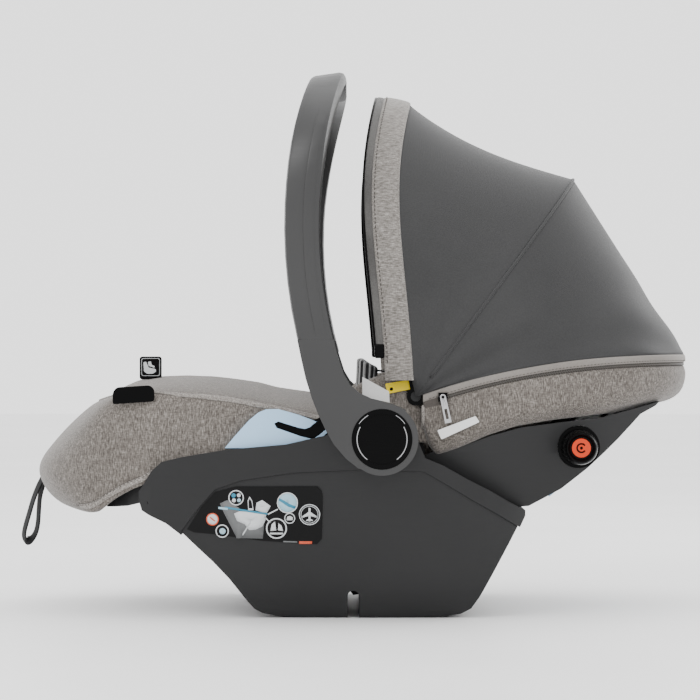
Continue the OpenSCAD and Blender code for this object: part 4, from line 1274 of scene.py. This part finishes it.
def mid_front(t, u):
    a, b = front_point(u, 0, 0.96), mid_point(u, 0)
    p = lerp(a, b, t)
    p[2] -= 12 * math.sin(math.pi * t ** 0.8) * math.sin(math.pi * u) ** 3
    return p + outward_dir(p) * pivot_folds(p, 1.5) * math.sin(math.pi * t)


def rear_sheet(t, u):
    p = lerp(mid_point(u, 0), rear_point(u, 0), t)
    # cloth pulled between the bow and the zip: long shallow folds that fan out from the pivot
    f = smooth(t, 0.35, 0.95) * (1 - 0.75 * smooth(t, 0.93, 1.0))
    ripple = 2.3 * math.sin(t * 17 + 2.6 * math.sin(u * 9) + 3 * u) * f * math.sin(math.pi * u) ** 0.5
    push = 1.5 * math.sin(u * 37 + t * 5) * smooth(t, 0.8, 1.0) * (1 - smooth(t, 0.985, 1.0))
    fan = pivot_folds(p, 2.2) * smooth(t, 0, 0.2) * (1 - smooth(t, 0.85, 1.0))
    return p + outward_dir(p) * (ripple * 0.6 + push * 0.6 + fan)


def angular(ob, inner, outer):
    """Bakes ob's transform and works out a weight for each vertex by its angle about the canopy's axis: 0 at
    inner(r), 1 at outer(r). The weights are not kept.
    """
    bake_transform(ob)
    w = np.zeros(len(ob.data.vertices), np.float32)
    for i, v in enumerate(ob.data.vertices):
        x, z = v.co.x * 1000 - SX - PX, v.co.z * 1000 - PZ
        r = math.hypot(x, z)
        ang = math.atan2(z, x)
        i0, i1 = inner(r), outer(r)
        w[i] = min(1.0, max(0.0, (ang - i0) / (i1 - i0)))


def front_angle(r):
    return math.atan2(r, belly(r / FRONT_R) + 0.45 * BAND_W) if r > 30 else math.radians(100)


def rear_angle(r):
    return math.atan2(max(0.0, zip_z(PX + min(r, REAR_R)) - PZ), max(r, 1.0))


def canopy():
    rows = []
    for k in range(49):
        t = k / 48
        rows.append([tuple(mid_front(t, u)) for u in U_FRONT])
    ob = grid("canopy_front_sheet", rows, M["canopy"])
    outward(ob)
    ob = thicken(ob, 1.3, offset=0, sub=0)
    angular(ob, lambda r: MID_A, front_angle)
    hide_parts("canopy_front_panel")

    rows = []
    for k in range(65):
        t = k / 64
        rows.append([tuple(rear_sheet(t, u)) for u in U_FRONT])
    ob = grid("canopy_rear_sheet", rows, M["canopy"])
    outward(ob)
    ob = thicken(ob, 1.3, offset=0, sub=0)
    angular(ob, rear_angle, lambda r: MID_A)
    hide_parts("canopy_rear_panel")

    # seam over the middle bow, with a row of stitches behind it
    seam = tube("canopy_seam", [mid_point(u, 0.7) for u in U_FRONT[2:-2]], 1.5, M["canopy"], sides=8)
    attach(seam, "canopy_mid")
    st = stitches("seam_stitches_rear", [rear_sheet(0.035, u) + np.array([0, 0, 0.75]) for u in U_FRONT[4:-4]],
                  M["canopy_in"], length=3, gap=1.4, r=0.35)
    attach(st, "canopy_mid")
    # light band on the front bow
    prof = [(-0.02, -1.5), (-0.045, 0.4), (-0.02, 2.2), (0.06, 3.2), (0.25, 3.7), (0.5, 3.9), (0.75, 3.7),
            (0.94, 3.2), (1.02, 2.2), (1.045, 0.4), (1.02, -1.5), (0.8, -2.6), (0.5, -2.9), (0.2, -2.6)]
    rows = []
    for u in U_FRONT:
        row = [tuple(front_point(u, o, e)) for e, o in prof]
        rows.append(row)
    ob = grid("canopy_front_band", rows, M["melange_band"], close=True)
    outward(ob)
    ob = thicken(ob, 0, sub=1)
    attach(ob, "canopy_front")
    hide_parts("canopy_band")
    st = stitches("band_stitches", [front_point(u, 3.55, 0.085) for u in U_FRONT[3:-3]], M["thread"],
                  length=3.0, gap=1.5, r=0.5)
    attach(st, "canopy_front")
    # edge strip in front of the band, with a dark bead and black end caps
    us = [u for u in U_FRONT if front_point(u, 0, -0.15)[2] > 268]
    prof = [(-0.30, 1.3), (-0.22, 2.0), (-0.12, 2.1), (-0.02, 1.9), (0.02, 0.5), (-0.02, -0.8), (-0.15, -1.4),
            (-0.28, -1.0), (-0.32, 0.2)]
    rows = [[tuple(front_point(u, o, e)) for e, o in prof] for u in us]
    ob = grid("canopy_edge_strip", rows, M["edge_grey"], close=True)
    outward(ob)
    ob = thicken(ob, 0, sub=1)
    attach(ob, "canopy_front")
    bead = tube("canopy_edge_bead", [front_point(u, 0.0, -0.345) for u in us], 1.25, M["black"], sides=8)
    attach(bead, "canopy_front")
    for u in (us[0], us[-1]):
        p = front_point(u, 0, -0.17)
        cap = solid_box("canopy_strip_cap", (p[0] - 5.5, p[1] - 3.6, p[2] - 9),
                        (p[0] + 4.5, p[1] + 3.6, p[2] + 5), M["black"], bevel=2.0)
        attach(cap, "canopy_front")


canopy()

# ---------------------------------------------------------------- small trim
def plate(name, outline, y0, y1, mat, bevel=0.4):
    """A flat tag from an outline given as [x, z], between two planes of y."""
    n = len(outline)
    verts = [(x, y0, z) for x, z in outline] + [(x, y1, z) for x, z in outline]
    faces = [tuple(range(n)), tuple(range(2 * n - 1, n - 1, -1))] + [(i, (i + 1) % n, n + (i + 1) % n, n + i)
            for i in range(n)]
    ob = new_object(name, verts, faces, mat, flat=True)
    outward(ob)
    if bevel:
        m = ob.modifiers.new("b", "BEVEL")
        m.width = bevel * 0.001
        m.segments = 2
        m.limit_method = "ANGLE"
    return ob


def rounded(points, r, n=5):
    """The outline with its corners rounded."""
    out = []
    k = len(points)
    for i in range(k):
        p, a, b = np.array(points[i], float), np.array(points[i - 1], float), np.array(points[(i + 1) % k],
                float)
        da, db = a - p, b - p
        ra = min(r, np.linalg.norm(da) * 0.45, np.linalg.norm(db) * 0.45)
        s, e = p + da / np.linalg.norm(da) * ra, p + db / np.linalg.norm(db) * ra
        for j in range(n + 1):
            t = j / n
            out.append(tuple((1 - t) ** 2 * s + 2 * t * (1 - t) * p + t * t * e))
    return out


tag = plate("name_tag", rounded([(-249, 214), (-249, 226), (-245, 231), (-212, 233), (-207.5, 229),
                                 (-207.5, 217)], 3), -163.6, -162.2, M["black"])
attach(tag, "leg_rest")
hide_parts("name_label")
tag = plate("size_flag", rounded([(-231, 237.5), (-231, 261.3), (-208, 261.3), (-208, 237.5)], 3.2), -44.0,
            -42.8, M["black"])
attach(tag, "leg_rest")
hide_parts("size_tag")


def outline_band(name, outline, width, y, mat):
    """A thin printed line that follows a closed outline on a plane of constant y."""
    p = np.array(outline)
    c = p.mean(axis=0)
    rows = []
    for q in p:
        d = np.linalg.norm(q - c)
        q2 = c + (q - c) * (1 - width / d)
        rows.append([(q[0], y, q[1]), (q2[0], y, q2[1])])
    ob = grid(name, rows, mat, wrap=True)
    return thicken(ob, 0.12, offset=0)


icon = [plate("flag_icon", rounded([(-226.4, 246), (-227, 255.4), (-224.2, 256), (-221.6, 249.8),
                                    (-214.6, 248.4), (-213.6, 246), (-217, 243.6), (-223, 243.4)], 1), -44.3,
                                    -43.9, M["print_white"], 0),
        plate("flag_icon_2", rounded([(-221.6, 251.6), (-222.4, 255.6), (-219.4, 256.4), (-218.4, 252.6),
                                      (-215.4, 251.4), (-215.6, 249.6)], 0.8), -44.3, -43.9, M["print_white"],
                                      0),
        outline_band("flag_frame", rounded([(-229.2, 241), (-229.2, 259.6), (-209.8, 259.6), (-209.8, 241)],
                                           2.6), 0.9, -44.1, M["print_grey_light"])]
for ob in icon:
    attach(ob, "leg_rest")
lab = plate("white_label", rounded([(-1, 241.5), (25.4, 227), (26.3, 213), (-1, 212)], 1), -170.6, -169.8,
            M["tag_white"])
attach(lab, "backrest")
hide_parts("warning_labels")
lab = plate("yellow_label", rounded([(21.6, 234.5), (44.7, 238.5), (46.6, 229), (24.1, 224.5)], 1), -170.2,
            -169.4, M["tag_yellow"])
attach(lab, "backrest")
mark = plate("yellow_mark", rounded([(26.2, 227.6), (26.2, 230.8), (29.4, 231.2), (29.4, 228)], 1.4), -170.6,
             -170.2, M["black"], 0)
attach(mark, "backrest")
patch = plate("rubber_patch", rounded([(72.9, 188.6), (110.8, 202.8), (114.8, 196.9), (77, 179.5)], 1.2),
              -180.4, -178.4, M["tag_white"])
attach(patch, "backrest")
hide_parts("cover_patch")

LOOP = [(-336, 133.5), (-341, 123.5), (-345.5, 112), (-350, 97), (-354.5, 81), (-355.5, 72.5), (-353, 68.2),
        (-348, 69.5), (-343.5, 76), (-341, 86), (-340, 100), (-338.8, 114), (-335.5, 127), (-333.5, 134)]
loop = tube("pull_loop_webbing", catmull([(x, 0, z) for x, z in LOOP], 90), 0, M["webbing"], sides=20,
            flat=(5.0, 0.85, (0.88, 0.47, 0.05)))
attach(loop, "leg_rest")
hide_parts("pull_loop")

# a black plate behind each belt guide's slot: painted shade in the slot
GUIDE_SLOT_SHADE = [(-92, 199), (-90, 188), (-62, 180), (-48, 177.5), (-30, 186), (-28, 197), (-38, 204), (-54, 196),
              (-64, 195), (-84, 201)]
for side in (-1, 1):
    b = plate(left_right("guide_back", side), rounded(GUIDE_SLOT_SHADE, 3), 175.1 * side, 175.9 * side, M["black"], 0)
    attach(b, "base")


def arc_band(cx, cz, r0, r1, a0, a1, y, mat, name, n=40):
    """A thin printed arc on a plane of constant y."""
    rows = []
    for i in range(n + 1):
        a = math.radians(lerp(a0, a1, i / n))
        rows.append([(cx + r * math.cos(a), y, cz + r * math.sin(a)) for r in (r0, r1)])
    ob = grid(name, rows, mat)
    return thicken(ob, 0.12, offset=0)


def caster(node, side):
    """Finds y on the outer face of a CAD node for an x and z."""
    ob = frame["nodes"][node]
    tree = BVHTree.FromPolygons([ob.matrix_world @ v.co for v in ob.data.vertices],
                                [tuple(f.vertices) for f in ob.data.polygons])

    def y_at(x, z):
        hit = tree.ray_cast(Vector(((x + SX) * 0.001, side * 0.4, z * 0.001)), Vector((0, -side, 0)))
        return hit[0].y * 1000 if hit[0] is not None else None
    return y_at


def printed(y_at, side, outline, lift, mat, name, hole=0.0):
    """A printed patch that lies on the label: filled, or a band when hole is the inner share of its radius."""
    pts = np.array(outline, float)
    dense = []
    for a, b in zip(pts, np.roll(pts, -1, axis=0)):
        n = max(1, int(np.linalg.norm(b - a) / 3.0))
        dense += [lerp(a, b, i / n) for i in range(n)]
    c = pts.mean(axis=0)
    rows = []
    for q in dense:
        row = []
        for t in ((hole or 0.02), (1 + (hole or 0.0)) / 2, 1.0):
            x, z = lerp(c, q, t)
            y = y_at(x, z)
            if y is None:
                y = y_at(c[0], c[1])
            row.append((x, y + side * lift, z))
        rows.append(row)
    ob = grid(name, rows, mat, wrap=True)
    return thicken(ob, 0.1, offset=0)


def circle(cx, cz, r, n=36):
    return [(cx + r * math.cos(2 * math.pi * i / n), cz + r * math.sin(2 * math.pi * i / n)) for i in range(n)]


def bar(x0, z0, x1, z1, w):
    dx, dz = x1 - x0, z1 - z0
    k = w / 2 / math.hypot(dx, dz)
    return [(x0 - dz * k, z0 + dx * k), (x1 - dz * k, z1 + dx * k), (x1 + dz * k, z1 - dx * k),
            (x0 + dz * k, z0 - dx * k)]


# the outer face of each handle arm steps up along its rear half, which follows an arc
ARC_X, ARC_Z, ARC_R = 402, 389, 462
for side in (-1, 1):
    y_at = caster("handle_frame", side)
    rows = []
    for z in np.linspace(276, 512, 70):
        x = ARC_X - math.sqrt(ARC_R ** 2 - (z - ARC_Z) ** 2)
        tilt = math.cos(math.asin((ARC_Z - z) / ARC_R))
        fade = smooth(z, 276, 290) * (1 - smooth(z, 490, 512))
        row = []
        for q, lift in ((0.8, -0.4), (1.1, 0.75), (2.6, 0.85), (6.0, 0.7), (9.0, 0.45), (12.2, 0.15),
                        (12.4, -0.4)):
            px = x + q / tilt
            row.append((px, y_at(px, z) + side * (lift * fade - 0.25 * (1 - fade)), z))
        rows.append(row)
    ob = grid(left_right("handle_facet", side), rows, M["handle"])
    outward(ob)
    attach(ob, "handle")

def disc(mat, cx, cz, r, rim, share):
    """A round sign: a filled disc, then a white rim of radius rim whose inner share is open."""
    return (mat, 0.16, circle(cx, cz, r), 0), (W, 0.24, circle(cx, cz, rim), share)


W, T, S, G, O, K = (M[k] for k in ("print_white", "print_teal", "print_sky", "print_grey", "print_orange",
                                   "label"))
PICTOGRAMS = [
    (G, 0.08, [(-142, 116), (-134.5, 119.7), (-122.7, 111.6), (-124, 98), (-98, 98.7), (-99.6, 81),
               (-125.4, 81.6), (-137.8, 106.2)], 0),
    (W, 0.16, [(-128, 106), (-122.7, 108.4), (-95.9, 107.3), (-97, 99), (-100, 93.3), (-107, 90), (-113, 89.6),
               (-117.4, 95.5), (-125, 98.7)], 0),
    (W, 0.16, [(-105.6, 117), (-100, 119.7), (-91.6, 113.7), (-95.9, 106.2), (-106.7, 109.5)], 0),
    (W, 0.16, [(-113.9, 109.5), (-114.3, 119), (-112.5, 123.4), (-109.9, 119), (-108.6, 109.5)], 0.72),
    (W, 0.16, bar(-121, 82.5, -112, 97, 1.2), 0), (W, 0.16, bar(-94.5, 105.4, -84.5, 110.6, 1.2), 0),
    (W, 0.16, bar(-98, 103, -91.5, 96.5, 1.1), 0),
    (T, 0.24, bar(-137, 112.2, -94.8, 105.7, 1.9), 0), (S, 0.32, bar(-143.5, 111.8, -134, 110.6, 2.2), 0),
    (W, 0.16, circle(-149.5, 100.2, 5.3), 0), (O, 0.24, circle(-149.5, 100.2, 6.3), 0.82),
    (O, 0.24, bar(-152, 102.4, -147.2, 98.4, 1.3), 0),
    *disc(K, -139.9, 88.5, 6.0, 6.6, 0.84), (S, 0.24, circle(-139.6, 88.3, 3.1), 0),
    *disc(K, -125.8, 121.9, 7.1, 7.7, 0.86), (T, 0.24, circle(-128.3, 124.2, 2.2), 0),
    (W, 0.24, circle(-123.1, 124.4, 1.9), 0), (W, 0.24, circle(-128, 119.3, 2.0), 0),
    (S, 0.24, circle(-122.9, 119.4, 1.9), 0),
    *disc(S, -75, 117, 9.6, 10.4, 0.90), (T, 0.24,
                                          [(-83, 121.6), (-79, 119.6), (-73.5, 116.2), (-66.5, 113.2),
                                           (-67.4, 110.9), (-74.4, 113.2), (-80.2, 117.2), (-83.8, 119.4)], 0),
    *disc(K, -72.8, 101.5, 4.9, 5.4, 0.83),
    (W, 0.24, [(-76, 99.6), (-75.4, 103), (-72.6, 104), (-69.8, 102.6), (-69.8, 99.6)], 0),
    *disc(K, -86, 91.3, 9.7, 10.4, 0.87),
    (W, 0.24, [(-92, 88.6), (-90.8, 95.4), (-87.4, 98.4), (-86.2, 89.4)], 0),
    (W, 0.24, [(-84.6, 89.6), (-84, 96.6), (-80.8, 93.8), (-79.4, 88.6)], 0),
    (W, 0.24, bar(-92.6, 86.2, -79.4, 86.2, 1.6), 0),
    (W, 0.24, circle(-53.2, 105.2, 10.5), 0.92), (W, 0.24, circle(-53.2, 105.2, 8.7), 0.94),
    (W, 0.24, bar(-53.2, 98.4, -53.2, 112, 2.0), 0),
    (W, 0.32, [(-60.4, 103.6), (-60.4, 102.2), (-53.2, 104.4), (-46, 102.2), (-46, 103.6), (-53.2, 108.6)], 0),
    (W, 0.32, [(-56.4, 98.6), (-53.2, 99.6), (-50, 98.6), (-50, 99.8), (-53.2, 101.6), (-56.4, 99.8)], 0),
    (O, 0.16, bar(-63.7, 77.2, -50.8, 77.2, 2.6), 0), (G, 0.16, bar(-79.5, 78.2, -65.4, 77.8, 1.4), 0),
]
for side in (-1, 1):
    node = left_right("side_label", side)
    y_at = caster(node, side)
    for mat in (W, T, S, G, O, K):
        group = [printed(y_at, side, line, lift, mat, "p", hole) for m_, lift, line,
                 hole in PICTOGRAMS if m_ is mat]
        ob = join(left_right("pictograms_" + mat.name, side), group)
        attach(ob, "base")
    # a plain mark on the pod's badge
    lo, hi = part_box(left_right("pod_badge", side))
    bx, bz = (lo[0] + hi[0]) * 500 - SX, (lo[2] + hi[2]) * 500
    y = (lo[1] if side < 0 else hi[1]) * 1000
    marks = [arc_band(bx, bz, 3.4, 5.0, 35, 325, y + side * 0.1, M["black"], "m"),
             arc_band(bx, bz, 0.0, 1.5, 0, 360, y + side * 0.1, M["black"], "m")]
    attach(join(left_right("badge_mark", side), marks), "pod_l" if side < 0 else "pod_r")

HX, HZ = hub[0] - SX, hub[2]
for side, body in ((-1, "button_l"), (1, "button_r")):
    lo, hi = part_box(left_right("handle_button", side))
    y = (lo[1] if side < 0 else hi[1]) * 1000 + side * 0.05
    for a0, a1, r0, r1 in ((-54, 30, 23.9, 24.8), (150, 234, 23.9, 24.8), (34, 60, 26.6, 27.2),
                           (120, 146, 26.6, 27.2)):
        ring = arc_band(HX, HZ, r0, r1, a0, a1, y, M["ring"], "button_ring")
        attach(ring, body)

# ---------------------------------------------------------------- floor, camera and light
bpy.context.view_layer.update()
floor = new_object("floor", [(-6000, -5000, 0), (6000, -5000, 0), (6000, 9000, 0), (-6000, 9000, 0)],
                   [(0, 1, 2, 3)], None)
fmat, fnt, fb = nodes_of("floor_white")
fn = noise(fnt, coords(fnt), 3.0, 2.0, 0.5)
fr = ramp(fnt, fn, [(0.3, (0.86, 0.86, 0.86)), (0.7, (0.90, 0.90, 0.90))])
fnt.links.new(fr.outputs[0], fb.inputs["Base Color"])
fb.inputs["Roughness"].default_value = 0.45
floor.data.materials.append(fmat)

world = bpy.data.worlds.new("studio")
bpy.context.scene.world = world
world.use_nodes = True
world.node_tree.nodes["Background"].inputs[0].default_value = (1, 1, 1, 1)
world.node_tree.nodes["Background"].inputs[1].default_value = 2.1


def area(name, loc, target, size, power):
    light = bpy.data.lights.new(name, "AREA")
    light.shape = "RECTANGLE"
    light.size, light.size_y = size
    light.energy = power
    ob = bpy.data.objects.new(name, light)
    bpy.context.scene.collection.objects.link(ob)
    ob.location = loc
    ob.rotation_euler = (Vector(target) - Vector(loc)).to_track_quat("-Z", "Y").to_euler()
    return ob


area("key", (-1.1, -1.9, 1.9), (0, 0, 0.25), (1.4, 1.0), 20)
area("top", (0.3, 0.1, 2.4), (0, 0, 0.2), (1.8, 1.8), 16)
area("rim", (1.8, 1.2, 1.2), (0, 0, 0.3), (0.8, 1.4), 16)

cam_data = bpy.data.cameras.new("camera")
cam_data.lens = 146.9
cam_data.sensor_width = 36
cam = bpy.data.objects.new("camera", cam_data)
bpy.context.scene.collection.objects.link(cam)
cam.location = (-0.0032, -3.0, 0.268)
cam.rotation_euler = (math.radians(90), 0, 0)
bpy.context.scene.camera = cam
